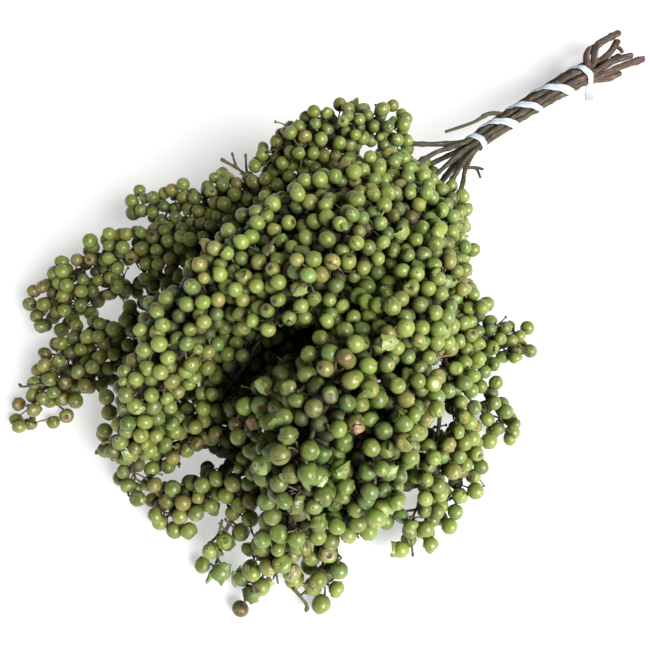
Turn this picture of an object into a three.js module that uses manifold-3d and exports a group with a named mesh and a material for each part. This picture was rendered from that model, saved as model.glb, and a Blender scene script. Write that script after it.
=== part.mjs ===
// Dried pepperberry bunch, lying on a table. Millimetres, +Z up.
// +X points along the bare stems to their cut ends, the berry sprays fan out
// towards -X. The origin is under the middle of the bounding box, on the table.
import * as THREE from 'three';
import { mergeVertices } from 'three/addons/utils/BufferGeometryUtils.js';
import Module from 'manifold-3d';

const wasm = await Module();
wasm.setup();

// ---- driving dimensions ---------------------------------------------------
const SHIFT = [0.83, 0.15, 0];  // brings the bounding box's middle to the origin
const GAP = 0.35;               // clearance between neighbouring pieces
const SPRAY_SIDES = 8;          // facets round a spray
const SPRAY_STEP = 17;          // spacing of a spray's rings along its spine
const STEM_SIDES = 7;           // facets round a stem
const STEM_R = 1.45;            // stem radius at the neck end of the tie
const STEM_GROW = 0.3;          // and how much thicker towards the cut ends
const NECK_R = 1.15;            // stem radius where it enters the berries
const RING_R = [3.55, 4.9];      // radius of the ring of stems round the core stem, at the handle's two ends
const RING_TWIST = 0.5;         // turn of the ring from the neck to the cut ends, radians
const TIE_W = 3.4;              // width of the flat tie
const TIE_T = 0.6;              // thickness of the flat tie
const TIE_LIFT = 0.3;           // play between the stems and the tie
// Lay of the tie: angle round the handle in radians, and place along it, 0 at the neck and 1 at the cut ends.
const TIE_LAY = [[0.4, 0.032], [0.81, 0.034], [3.31, 0.064], [7.09, 0.118], [9.59, 0.25], [13.38, 0.272],
  [15.88, 0.42], [19.66, 0.44], [22.16, 0.632], [25.94, 0.694], [28.3, 0.738]];
// Loose end of the tie: steps from its last wound point, and the direction across it there.
const TIE_TAIL = [[[-0.5, -0.7, -2], [0.92, -0.36, -0.1]], [[-2.2, -1.7, -3.6], [0.72, -0.68, -0.1]],
  [[-4.8, -2.5, -4.5], [0.5, -0.85, -0.1]], [[-7.3, -3.1, -5], [0.42, -0.9, -0.1]]];

// Middle line of the bare handle, from the neck to the cut ends.
const HANDLE = [[49, 19.2, 35], [67.5, 21.6, 31.2], [88, 23.6, 27], [112.5, 25.8, 22],
  [134.7, 26.8, 17.8], [148, 26.9, 15.2], [162, 26.6, 12.2], [180, 26.2, 8.8]];

// Every spray: points of its spine with the radius of the berry mass there.
// Earlier sprays lie on top and keep their shape, later ones give way.
const SPRAYS = {
  centre_left: [[6.3, 15.4, 54.0, 7.0], [-22.0, 13.7, 66.0, 12.0], [-55.4, 11.6, 74.0, 16.0], [-87.0, 11.4, 74.0, 17.0], [-112.0, 9.7, 68.0, 17.0], [-130.8, 6.6, 56.0, 15.0], [-146.0, 2.8, 44.0, 12.5], [-156.5, -1.6, 30.0, 10.0], [-162.5, -7.2, 17.0, 8.0]],
  centre: [[5.4, 6.0, 52.0, 7.0], [-18.1, -3.1, 66.0, 14.0], [-47.6, -11.2, 80.0, 17.0], [-69.4, -14.1, 84.0, 17.0], [-86.2, -15.9, 80.0, 14.0], [-96.5, -11.2, 74.0, 11.0]],
  right_top: [[12.7, 1.2, 46.0, 6.0], [0.5, -6.2, 54.0, 11.0], [-20.6, -21.7, 64.0, 15.0], [-40.0, -36.8, 72.0, 16.0], [-59.6, -46.3, 78.0, 14.0], [-76.5, -47.7, 80.0, 12.0], [-88.6, -39.7, 78.0, 11.0]],
  front: [[-66.2, -49.2, 70.0, 10.0], [-89.2, -51.9, 76.0, 13.0], [-106.3, -54.4, 76.0, 15.0], [-117.5, -58.3, 66.0, 15.0], [-124.6, -63.6, 50.0, 14.0], [-132.0, -67.0, 34.0, 12.0], [-140.5, -69.2, 21.0, 10.0], [-150.5, -70.4, 12.0, 7.5], [-157.0, -71.3, 6.3, 6.5]],
  front_right: [[-45.6, -46.9, 62.0, 10.0], [-67.3, -58.7, 66.0, 14.0], [-85.0, -67.8, 64.0, 16.0], [-98.5, -74.1, 56.0, 15.0], [-106.8, -77.6, 39.0, 13.0], [-117.8, -78.4, 24.0, 10.8], [-127.0, -81.6, 13.0, 9.6], [-132.0, -87.0, 6.8, 7.0]],
  top_arch: [[13.2, 29.2, 54.0, 6.0], [5.8, 38.0, 60.0, 11.0], [-8.1, 45.5, 64.0, 13.0], [-23.2, 52.3, 62.0, 13.5], [-35.0, 58.9, 54.0, 10.0]],
  left_arch: [[-46.2, 30.1, 50.0, 9.0], [-68.0, 44.5, 42.0, 11.0], [-85.2, 59.0, 36.0, 11.0], [-101.9, 76.2, 28.0, 10.2], [-118.9, 86.4, 22.0, 10.2], [-137.5, 89.4, 15.0, 10.2], [-149.5, 88.0, 11.0, 9.4]],
  upper_left: [[-23.0, 37.8, 48.0, 8.0], [-38.3, 46.9, 46.0, 10.0], [-53.6, 60.0, 42.0, 10.0], [-69.4, 73.4, 36.0, 9.5], [-82.2, 85.4, 30.0, 9.0], [-92.4, 92.8, 26.0, 8.0]],
  left_low: [[-86.5, 19.7, 44.0, 10.0], [-102.5, 34.9, 34.0, 9.5], [-121.7, 47.3, 24.0, 9.0], [-138.6, 55.6, 17.0, 10.0], [-150.9, 57.6, 14.0, 11.0], [-161.7, 52.6, 9.3, 9.5], [-174.0, 49.6, 8.3, 8.5], [-182.4, 47.2, 7.3, 7.5]],
  front_left: [[-114.2, -47.6, 44.0, 9.0], [-126.6, -42.0, 34.0, 9.0], [-138.5, -35.0, 24.0, 9.5], [-151.0, -28.8, 15.0, 9.5], [-159.5, -24.5, 8.8, 9.0]],
  right_low: [[-34.4, -48.6, 44.0, 10.0], [-48.1, -61.8, 42.0, 12.0], [-61.5, -73.0, 38.0, 13.0], [-72.2, -81.1, 30.0, 12.0], [-82.9, -88.4, 20.0, 10.0], [-90.6, -92.7, 7.8, 8.0]],
  right_edge: [[16.9, -3.2, 40.0, 6.0], [5.4, -10.8, 41.0, 8.0], [-5.0, -22.2, 40.0, 8.0], [-16.4, -40.4, 38.0, 9.0], [-18.0, -53.6, 33.0, 10.5], [-12.0, -62.0, 26.0, 10.0], [-5.0, -65.4, 21.0, 7.0]],
  right_fan: [[-34.2, -57.9, 36.0, 7.0], [-34.0, -69.5, 28.0, 7.0], [-34.0, -79.5, 20.0, 9.0], [-33.5, -86.6, 13.0, 8.5]],
  right_mid: [[-48.7, -68.0, 30.0, 8.0], [-54.5, -81.2, 22.0, 9.0], [-61.5, -90.6, 14.0, 8.5], [-74.0, -93.4, 7.3, 7.5]],
  front_gap: [[-86.5, -37.3, 62.0, 9.0], [-99.4, -27.6, 66.0, 8.0], [-112.7, -30.9, 62.0, 9.0], [-120.1, -35.4, 54.0, 9.0]],
  mid_low: [[-91.1, -5.5, 50.0, 11.0], [-110.3, -9.6, 40.0, 12.0], [-128.5, -9.4, 27.0, 11.0], [-146.0, -7.0, 14.0, 10.0]],
  left_mid: [[-119.7, 27.0, 26.0, 10.0], [-137.2, 42.3, 16.0, 10.0], [-152.5, 43.5, 12.0, 9.5]],
  left_under: [[-85.1, 49.2, 30.0, 10.0], [-103.7, 59.3, 22.0, 10.0], [-120.1, 73.4, 15.0, 9.5], [-137.1, 81.8, 9.3, 9.5], [-150.5, 81.6, 7.8, 8.0]],
  tail_left: [[-128.0, -45.0, 26.0, 7.5], [-142.7, -46.9, 17.0, 7.0], [-151.2, -50.0, 11.0, 6.5], [-160.2, -53.5, 5.8, 6.0]],
  base_mid: [[11.7, 18.8, 13.2, 15.0], [-27.5, 3.9, 16.2, 18.0], [-63.6, -13.9, 17.2, 19.0], [-93.6, -33.3, 15.2, 17.0], [-112.0, -49.2, 10.2, 12.0]],
  base_left: [[-11.0, 36.8, 14.2, 16.0], [-50.5, 33.5, 15.2, 17.0], [-91.1, 29.1, 14.2, 16.0], [-121.5, 20.9, 12.2, 14.0], [-137.7, 13.1, 9.2, 11.0]],
  base_right: [[19.8, 6.1, 11.2, 13.0], [-9.0, -20.5, 14.2, 16.0], [-37.0, -44.4, 15.2, 17.0], [-61.2, -62.3, 13.2, 15.0], [-80.8, -74.9, 9.2, 11.0]],
  mid_back: [[24.0, 24.4, 33.0, 8.0], [12.9, 32.8, 31.0, 13.0], [-10.4, 45.2, 26.0, 16.0], [-36.7, 58.0, 20.0, 15.0], [-60.0, 71.7, 11.8, 12.0], [-82.7, 77.3, 9.8, 10.0]],
  mid_core: [[13.8, 8.4, 37.0, 9.0], [-21.9, -3.5, 46.0, 16.0], [-59.9, -15.2, 48.0, 18.0], [-84.8, -29.5, 44.0, 17.0], [-103.1, -42.4, 36.0, 14.0]],
  mid_left: [[-30.3, 15.8, 44.0, 13.0], [-63.0, 16.2, 44.0, 16.0], [-92.6, 15.5, 40.0, 15.0], [-113.0, 13.3, 33.0, 12.0]],
};

// Every stem: its place in the bundle (angle round the handle, or the core),
// the points it fans to from the neck, its cut end, and its side twigs.
const STEMS = {
  stem_top: { at: 24, into: [[38.4, 22.4, 41.4], [26, 24, 48], [13.2, 28.4, 53.6]], end: [[160, 29, 14.6], [171, 29.4, 14.2], [182, 32.8, 13.8]],
    twigs: [{ r: [1.2, 0.9], from: 'end', path: [[178.3, 31.4, 14.2], [179.2, 28, 13.4], [178.4, 25.8, 13]] },
      { r: [1.05, 0.75], from: 0.24, path: [[70, 28.2, 35], [60.4, 28.2, 36.2], [52.5, 29.9, 36.6], [44.7, 32.6, 36.2]] }] },
  stem_centre_left: { at: 75, into: [[36.5, 19.6, 43], [22, 18.4, 49.8], [6.3, 16, 55]], end: [[158.5, 32, 21.8], [166, 34.8, 19.6], [175, 35.8, 17.4], [186.5, 36.2, 15]], twigs: [] },
  stem_centre: { at: 127, into: [[36.5, 16, 41], [22, 11.6, 46.8], [5.4, 6.6, 53]], end: [[162, 24.2, 15.6], [171, 23.8, 13.8], [181, 21.6, 12.2]], twigs: [] },
  stem_right_top: { at: 178, into: [[37, 13, 38.2], [26, 7.8, 42], [12.7, 2, 46.5]], end: [[162, 21.4, 12], [173, 20.2, 10.8], [187.5, 17.2, 9.2]], twigs: [] },
  stem_right_edge: { at: 230, into: [[38, 11.8, 34], [28.2, 4.6, 36.6], [17, -2.6, 39.8]], end: [[161, 21.4, 7.6], [172, 19.8, 6]],
    twigs: [{ r: [0.8, 0.55], from: -0.08, path: [[41.4, 8.6, 34.4], [43.2, 5.4, 34.6]] },
      { r: [0.75, 0.5], from: -0.08, path: [[41.2, 8.2, 34], [39.6, 3.4, 33]] }] },
  stem_base: { at: 281, into: [[38, 18.2, 27.8], [30, 18.2, 23.6], [20, 18.4, 19]], end: [[163, 25.6, 5.2], [176, 24.4, 2]], twigs: [] },
  stem_back: { at: 332, into: [[38, 22, 34.4], [31, 23.4, 33.8], [22, 25.2, 33.2]], end: [[162, 31.4, 9.4], [173, 32.4, 6.4]], twigs: [] },
  stem_core: { at: null, into: [[37, 16.6, 36.2], [25, 12.6, 36.8], [13.8, 8.8, 37.2]], end: [[166, 26.6, 10.2], [180, 28, 8.4]], twigs: [] },
};

// ---- materials ------------------------------------------------------------
const BERRY = () => new THREE.MeshStandardMaterial({ color: 0x8d955a, roughness: 0.45, metalness: 0 });
const STEM = () => new THREE.MeshStandardMaterial({ color: 0x5b5040, roughness: 0.8, metalness: 0 });
const TIE = () => new THREE.MeshStandardMaterial({ color: 0xf0f4f7, roughness: 0.6, metalness: 0 });

// ---- helpers --------------------------------------------------------------
const v3 = (p) => new THREE.Vector3(p[0], p[1], p[2]);

// A frame that slides along a curve without twisting about it.
function slidingFrames(curve, us) {
  let normal = new THREE.Vector3(0, 0, 1);
  return us.map((u) => {
    const tangent = curve.getTangentAt(u).normalize();
    normal = normal.clone().addScaledVector(tangent, -normal.dot(tangent)).normalize();
    return { at: curve.getPointAt(u), tangent, normal, side: tangent.clone().cross(normal) };
  });
}

function solidOf(geometry) {
  geometry.deleteAttribute('normal');
  geometry.deleteAttribute('uv');
  const g = mergeVertices(geometry, 1e-4);
  return new wasm.Manifold(new wasm.Mesh({
    numProp: 3,
    vertProperties: new Float32Array(g.attributes.position.array),
    triVerts: new Uint32Array(g.index.array),
  }));
}

function meshOf(name, solid, material) {
  const m = solid.getMesh();
  const g = new THREE.BufferGeometry();
  const pos = new Float32Array(m.numVert * 3);
  for (let i = 0; i < m.numVert; i++)
    for (let k = 0; k < 3; k++) pos[3 * i + k] = m.vertProperties[m.numProp * i + k];
  g.setAttribute('position', new THREE.BufferAttribute(pos, 3));
  g.setIndex(new THREE.BufferAttribute(new Uint32Array(m.triVerts), 1));
  g.computeVertexNormals();
  const mesh = new THREE.Mesh(g, material);
  mesh.name = name;
  return mesh;
}

// The main body of a cut piece, without loose chips.
function mainBody(solid) {
  const bodies = solid.decompose();
  return bodies.reduce((a, b) => (a.volume() >= b.volume() ? a : b));
}

// A spray's berry mass: a sphere stretched along the spine, with rounded ends.
function sprayGeometry(points, grow) {
  const curve = new THREE.CatmullRomCurve3(points.map(v3), false, 'centripetal');
  const length = curve.getLength();
  const n = Math.max(3, Math.round(length / SPRAY_STEP) + 1);
  const us = Array.from({ length: n }, (_, i) => i / (n - 1));
  const frames = slidingFrames(curve, us);
  const marks = points.map((p, i) => {
    let best = 0, far = Infinity;
    for (let k = 0; k <= 200; k++) {
      const d = curve.getPointAt(k / 200).distanceTo(v3(p));
      if (d < far) { far = d; best = k / 200; }
    }
    return [i === 0 ? 0 : best, p[3]];
  });
  const radiusAt = (u) => {
    for (let i = 1; i < marks.length; i++)
      if (u <= marks[i][0]) {
        const f = (u - marks[i - 1][0]) / (marks[i][0] - marks[i - 1][0]);
        return marks[i - 1][1] + (marks[i][1] - marks[i - 1][1]) * f;
      }
    return marks[marks.length - 1][1];
  };
  const rings = [];
  const first = radiusAt(0) + grow, last = radiusAt(1) + grow;
  rings.push({ ...frames[0], back: -first, r: 0 });
  rings.push({ ...frames[0], back: -first * 0.72, r: first * 0.66 });
  us.forEach((u, i) => rings.push({ ...frames[i], back: 0, r: radiusAt(u) + grow }));
  rings.push({ ...frames[n - 1], back: last * 0.72, r: last * 0.66 });
  rings.push({ ...frames[n - 1], back: last, r: 0 });
  const g = new THREE.SphereGeometry(1, SPRAY_SIDES, rings.length - 1);
  const pos = g.attributes.position;
  for (let i = 0; i < pos.count; i++) {
    const row = Math.floor(i / (SPRAY_SIDES + 1));
    const a = ((i % (SPRAY_SIDES + 1)) / SPRAY_SIDES) * 2 * Math.PI;
    const f = rings[row];
    const p = f.at.clone().addScaledVector(f.tangent, f.back)
      .addScaledVector(f.normal, Math.cos(a) * f.r).addScaledVector(f.side, -Math.sin(a) * f.r);
    pos.setXYZ(i, p.x, p.y, p.z);
  }
  return g;
}

// A round stem: a cylinder bent along a curve and tapered.
function stemGeometry(path, radiusAt, step) {
  const curve = new THREE.CatmullRomCurve3(path, false, 'centripetal');
  const n = Math.max(2, Math.round(curve.getLength() / step));
  const frames = slidingFrames(curve, Array.from({ length: n + 1 }, (_, i) => i / n));
  const g = new THREE.CylinderGeometry(1, 1, 1, STEM_SIDES, n);
  const pos = g.attributes.position;
  for (let i = 0; i < pos.count; i++) {
    const u = pos.getY(i) + 0.5;
    const f = frames[Math.round(u * n)];
    const r = radiusAt(u);
    const p = f.at.clone().addScaledVector(f.normal, pos.getZ(i) * r).addScaledVector(f.side, pos.getX(i) * r);
    pos.setXYZ(i, p.x, p.y, p.z);
  }
  return g;
}

const outward = (solid) => { if (solid.volume() <= 0) throw new Error('inside out'); return solid; };

// ---- handle ---------------------------------------------------------------
const handle = new THREE.CatmullRomCurve3(HANDLE.map(v3), false, 'centripetal');
const handleFrame = (t) => {
  const tangent = handle.getTangentAt(t).normalize();
  const side = new THREE.Vector3(0, 1, 0);
  side.addScaledVector(tangent, -side.dot(tangent)).normalize();
  return { at: handle.getPointAt(t), tangent, side, up: tangent.clone().cross(side) };
};
const ringR = (t) => RING_R[0] + (RING_R[1] - RING_R[0]) * t;
const stemR = (u) => (u < 0.14 ? NECK_R : Math.min(STEM_R, NECK_R + (u - 0.14) * 4)
  + STEM_GROW * THREE.MathUtils.clamp((u - 0.45) / 0.3, 0, 1));
const onRing = (t, angle, radius) => {
  const f = handleFrame(t);
  return f.at.addScaledVector(f.side, Math.cos(angle) * radius).addScaledVector(f.up, Math.sin(angle) * radius);
};

function stemPath(s) {
  const ring = [0.005, 0.07, 0.14, 0.27, 0.41, 0.55, 0.66, 0.78].map((t) => (s.at === null
    ? handle.getPointAt(t)
    : onRing(t, THREE.MathUtils.degToRad(s.at) + RING_TWIST * (t - 0.35), ringR(t))));
  return [...s.into.map(v3).reverse(), ...ring, ...s.end.map(v3)];
}

const stems = {};
for (const [name, s] of Object.entries(STEMS)) {
  const path = stemPath(s);
  const curve = new THREE.CatmullRomCurve3(path, false, 'centripetal');
  let solid = outward(solidOf(stemGeometry(path, stemR, 11)));
  for (const t of s.twigs) {
    let start;
    if (t.from === 'end') start = v3(t.path[0]);
    else {
      const root = t.from >= 0 ? onRing(t.from, THREE.MathUtils.degToRad(s.at) + RING_TWIST * (t.from - 0.35), ringR(t.from))
        : curve.getPointAt(0.2 + t.from * 0.5);
      start = root;
    }
    const twig = t.from === 'end' ? t.path.map(v3) : [start, ...t.path.map(v3)];
    solid = solid.add(outward(solidOf(stemGeometry(twig, (u) => t.r[0] + (t.r[1] - t.r[0]) * u, 5))));
  }
  stems[name] = solid;
}

// ---- tie ------------------------------------------------------------------
// A flat strip wound in open turns up the handle; its loose end hangs free.
function tieGeometry() {
  const from = TIE_LAY[0][0], to = TIE_LAY[TIE_LAY.length - 1][0];
  const steps = Math.round(((to - from) / (2 * Math.PI)) * 14);
  const tail = TIE_TAIL.length;
  const g = new THREE.BoxGeometry(1, 1, 1, 1, 1, steps + tail);
  const frames = [];
  for (let i = 0; i <= steps; i++) {
    const angle = from + ((to - from) * i) / steps;
    const n = Math.max(1, TIE_LAY.findIndex((p) => p[0] >= angle - 1e-9));
    const [a, b] = [TIE_LAY[n - 1], TIE_LAY[n]];
    const t = a[1] + ((b[1] - a[1]) * (angle - a[0])) / (b[0] - a[0]);
    const f = handleFrame(t);
    const r = ringR(t) + STEM_R + STEM_GROW * THREE.MathUtils.clamp((t - 0.3) / 0.42, 0, 1) + TIE_LIFT + TIE_T / 2;
    const out = f.side.clone().multiplyScalar(Math.cos(angle)).addScaledVector(f.up, Math.sin(angle));
    frames.push({ at: f.at.clone().addScaledVector(out, r), out, across: f.tangent.clone() });
  }
  const last = frames[steps];
  TIE_TAIL.forEach(([d, w]) => {
    const at = last.at.clone().add(v3(d));
    const across = v3(w).normalize();
    const go = at.clone().sub(frames[frames.length - 1].at);
    frames.push({ at, out: go.cross(across).normalize(), across });
  });
  const pos = g.attributes.position;
  for (let i = 0; i < pos.count; i++) {
    const f = frames[Math.round((pos.getZ(i) + 0.5) * (steps + tail))];
    const p = f.at.clone().addScaledVector(f.across, pos.getX(i) * TIE_W).addScaledVector(f.out, pos.getY(i) * TIE_T);
    pos.setXYZ(i, p.x, p.y, p.z);
  }
  return g;
}
const tie = outward(solidOf(tieGeometry()));

// ---- berry sprays ---------------------------------------------------------
const table = solidOf(new THREE.BoxGeometry(800, 800, 100).translate(0, 0, -50));
const sprays = {}, grown = {};
for (const [name, points] of Object.entries(SPRAYS)) {
  let solid = outward(solidOf(sprayGeometry(points, 0))).subtract(table);
  for (const other of Object.keys(grown)) solid = solid.subtract(grown[other]);
  sprays[name] = mainBody(solid);
  grown[name] = solidOf(sprayGeometry(points, GAP));
}
// The stems stop where the berries begin.
for (const name of Object.keys(stems)) {
  let solid = stems[name].subtract(table);
  for (const other of Object.keys(grown)) solid = solid.subtract(grown[other]);
  stems[name] = mainBody(solid);
}

// ---- the bunch ------------------------------------------------------------
const group = new THREE.Group();
group.position.set(...SHIFT);
for (const [name, solid] of Object.entries(sprays)) group.add(meshOf(`spray_${name}`, solid, BERRY()));
for (const [name, solid] of Object.entries(stems)) group.add(meshOf(name, solid, STEM()));
group.add(meshOf('tie_strip', tie, TIE()));

export default group;
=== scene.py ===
import math
import bpy
import numpy as np
from mathutils import Matrix, Vector
from mathutils.kdtree import KDTree


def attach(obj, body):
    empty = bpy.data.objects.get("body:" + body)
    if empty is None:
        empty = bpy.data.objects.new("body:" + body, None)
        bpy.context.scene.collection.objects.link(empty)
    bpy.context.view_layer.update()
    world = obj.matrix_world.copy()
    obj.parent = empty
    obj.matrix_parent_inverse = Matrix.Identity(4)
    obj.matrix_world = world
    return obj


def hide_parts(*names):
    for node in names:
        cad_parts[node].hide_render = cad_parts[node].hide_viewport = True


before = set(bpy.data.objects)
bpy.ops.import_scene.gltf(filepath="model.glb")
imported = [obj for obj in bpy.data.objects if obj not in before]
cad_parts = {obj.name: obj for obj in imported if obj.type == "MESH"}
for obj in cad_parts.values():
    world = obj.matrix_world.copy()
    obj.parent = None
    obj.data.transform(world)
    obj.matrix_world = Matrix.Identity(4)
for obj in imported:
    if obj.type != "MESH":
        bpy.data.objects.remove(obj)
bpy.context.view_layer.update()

# Dried pepperberry bunch: every berry, pedicel and twig is its own small shape,
# grown along the same spray spines that the CAD solids follow. Lengths below are
# millimetres in the part's frame, and meshes are written in metres.
rng = np.random.default_rng(20)
MM = 0.001
SHIFT = np.array([0.83, 0.15, 0.0])

SPRAYS = {
    "centre_left": [[6.3, 15.4, 54.0, 7.0], [-22.0, 13.7, 66.0, 12.0], [-55.4, 11.6, 74.0, 16.0], [-87.0, 11.4, 74.0, 17.0], [-112.0, 9.7, 68.0, 17.0], [-130.8, 6.6, 56.0, 15.0], [-146.0, 2.8, 44.0, 12.5], [-156.5, -1.6, 30.0, 10.0], [-162.5, -7.2, 17.0, 8.0]],
    "centre": [[5.4, 6.0, 52.0, 7.0], [-18.1, -3.1, 66.0, 14.0], [-47.6, -11.2, 80.0, 17.0], [-69.4, -14.1, 84.0, 17.0], [-86.2, -15.9, 80.0, 14.0], [-96.5, -11.2, 74.0, 11.0]],
    "right_top": [[12.7, 1.2, 46.0, 6.0], [0.5, -6.2, 54.0, 11.0], [-20.6, -21.7, 64.0, 15.0], [-40.0, -36.8, 72.0, 16.0], [-59.6, -46.3, 78.0, 14.0], [-76.5, -47.7, 80.0, 12.0], [-88.6, -39.7, 78.0, 11.0]],
    "front": [[-66.2, -49.2, 70.0, 10.0], [-89.2, -51.9, 76.0, 13.0], [-106.3, -54.4, 76.0, 15.0], [-117.5, -58.3, 66.0, 15.0], [-124.6, -63.6, 50.0, 14.0], [-132.0, -67.0, 34.0, 12.0], [-140.5, -69.2, 21.0, 10.0], [-150.5, -70.4, 12.0, 7.5], [-157.0, -71.3, 6.3, 6.5]],
    "front_right": [[-45.6, -46.9, 62.0, 10.0], [-67.3, -58.7, 66.0, 14.0], [-85.0, -67.8, 64.0, 16.0], [-98.5, -74.1, 56.0, 15.0], [-106.8, -77.6, 39.0, 13.0], [-117.8, -78.4, 24.0, 10.8], [-127.0, -81.6, 13.0, 9.6], [-132.0, -87.0, 6.8, 7.0]],
    "top_arch": [[13.2, 29.2, 54.0, 6.0], [5.8, 38.0, 60.0, 11.0], [-8.1, 45.5, 64.0, 13.0], [-23.2, 52.3, 62.0, 13.5], [-35.0, 58.9, 54.0, 10.0]],
    "left_arch": [[-46.2, 30.1, 50.0, 9.0], [-68.0, 44.5, 42.0, 11.0], [-85.2, 59.0, 36.0, 11.0], [-101.9, 76.2, 28.0, 10.2], [-118.9, 86.4, 22.0, 10.2], [-137.5, 89.4, 15.0, 10.2], [-149.5, 88.0, 11.0, 9.4]],
    "upper_left": [[-23.0, 37.8, 48.0, 8.0], [-38.3, 46.9, 46.0, 10.0], [-53.6, 60.0, 42.0, 10.0], [-69.4, 73.4, 36.0, 9.5], [-82.2, 85.4, 30.0, 9.0], [-92.4, 92.8, 26.0, 8.0]],
    "left_low": [[-86.5, 19.7, 44.0, 10.0], [-102.5, 34.9, 34.0, 9.5], [-121.7, 47.3, 24.0, 9.0], [-138.6, 55.6, 17.0, 10.0], [-150.9, 57.6, 14.0, 11.0], [-161.7, 52.6, 9.3, 9.5], [-174.0, 49.6, 8.3, 8.5], [-182.4, 47.2, 7.3, 7.5]],
    "front_left": [[-114.2, -47.6, 44.0, 9.0], [-126.6, -42.0, 34.0, 9.0], [-138.5, -35.0, 24.0, 9.5], [-151.0, -28.8, 15.0, 9.5], [-159.5, -24.5, 8.8, 9.0]],
    "right_low": [[-34.4, -48.6, 44.0, 10.0], [-48.1, -61.8, 42.0, 12.0], [-61.5, -73.0, 38.0, 13.0], [-72.2, -81.1, 30.0, 12.0], [-82.9, -88.4, 20.0, 10.0], [-90.6, -92.7, 7.8, 8.0]],
    "right_edge": [[16.9, -3.2, 40.0, 6.0], [5.4, -10.8, 41.0, 8.0], [-5.0, -22.2, 40.0, 8.0], [-16.4, -40.4, 38.0, 9.0], [-18.0, -53.6, 33.0, 10.5], [-12.0, -62.0, 26.0, 10.0], [-5.0, -65.4, 21.0, 7.0]],
    "right_fan": [[-34.2, -57.9, 36.0, 7.0], [-34.0, -69.5, 28.0, 7.0], [-34.0, -79.5, 20.0, 9.0], [-33.5, -86.6, 13.0, 8.5]],
    "right_mid": [[-48.7, -68.0, 30.0, 8.0], [-54.5, -81.2, 22.0, 9.0], [-61.5, -90.6, 14.0, 8.5], [-74.0, -93.4, 7.3, 7.5]],
    "front_gap": [[-86.5, -37.3, 62.0, 9.0], [-99.4, -27.6, 66.0, 8.0], [-112.7, -30.9, 62.0, 9.0], [-120.1, -35.4, 54.0, 9.0]],
    "mid_low": [[-91.1, -5.5, 50.0, 11.0], [-110.3, -9.6, 40.0, 12.0], [-128.5, -9.4, 27.0, 11.0], [-146.0, -7.0, 14.0, 10.0]],
    "left_mid": [[-119.7, 27.0, 26.0, 10.0], [-137.2, 42.3, 16.0, 10.0], [-152.5, 43.5, 12.0, 9.5]],
    "left_under": [[-85.1, 49.2, 30.0, 10.0], [-103.7, 59.3, 22.0, 10.0], [-120.1, 73.4, 15.0, 9.5], [-137.1, 81.8, 9.3, 9.5], [-150.5, 81.6, 7.8, 8.0]],
    "tail_left": [[-128.0, -45.0, 26.0, 7.5], [-142.7, -46.9, 17.0, 7.0], [-151.2, -50.0, 11.0, 6.5], [-160.2, -53.5, 5.8, 6.0]],
    "base_mid": [[11.7, 18.8, 13.2, 15.0], [-27.5, 3.9, 16.2, 18.0], [-63.6, -13.9, 17.2, 19.0], [-93.6, -33.3, 15.2, 17.0], [-112.0, -49.2, 10.2, 12.0]],
    "base_left": [[-11.0, 36.8, 14.2, 16.0], [-50.5, 33.5, 15.2, 17.0], [-91.1, 29.1, 14.2, 16.0], [-121.5, 20.9, 12.2, 14.0], [-137.7, 13.1, 9.2, 11.0]],
    "base_right": [[19.8, 6.1, 11.2, 13.0], [-9.0, -20.5, 14.2, 16.0], [-37.0, -44.4, 15.2, 17.0], [-61.2, -62.3, 13.2, 15.0], [-80.8, -74.9, 9.2, 11.0]],
    "mid_back": [[24.0, 24.4, 33.0, 8.0], [12.9, 32.8, 31.0, 13.0], [-10.4, 45.2, 26.0, 16.0], [-36.7, 58.0, 20.0, 15.0], [-60.0, 71.7, 11.8, 12.0], [-82.7, 77.3, 9.8, 10.0]],
    "mid_core": [[13.8, 8.4, 37.0, 9.0], [-21.9, -3.5, 46.0, 16.0], [-59.9, -15.2, 48.0, 18.0], [-84.8, -29.5, 44.0, 17.0], [-103.1, -42.4, 36.0, 14.0]],
    "mid_left": [[-30.3, 15.8, 44.0, 13.0], [-63.0, 16.2, 44.0, 16.0], [-92.6, 15.5, 40.0, 15.0], [-113.0, 13.3, 33.0, 12.0]],
}
HANDLE = [[49, 19.2, 35], [67.5, 21.6, 31.2], [88, 23.6, 27], [112.5, 25.8, 22],
          [134.7, 26.8, 17.8], [148, 26.9, 15.2], [162, 26.6, 12.2], [180, 26.2, 8.8]]
RING_R, STEM_R, STEM_GROW, NECK_R, RING_TWIST = (3.0, 4.75), 1.28, 0.47, 1.1, 0.5
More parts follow.
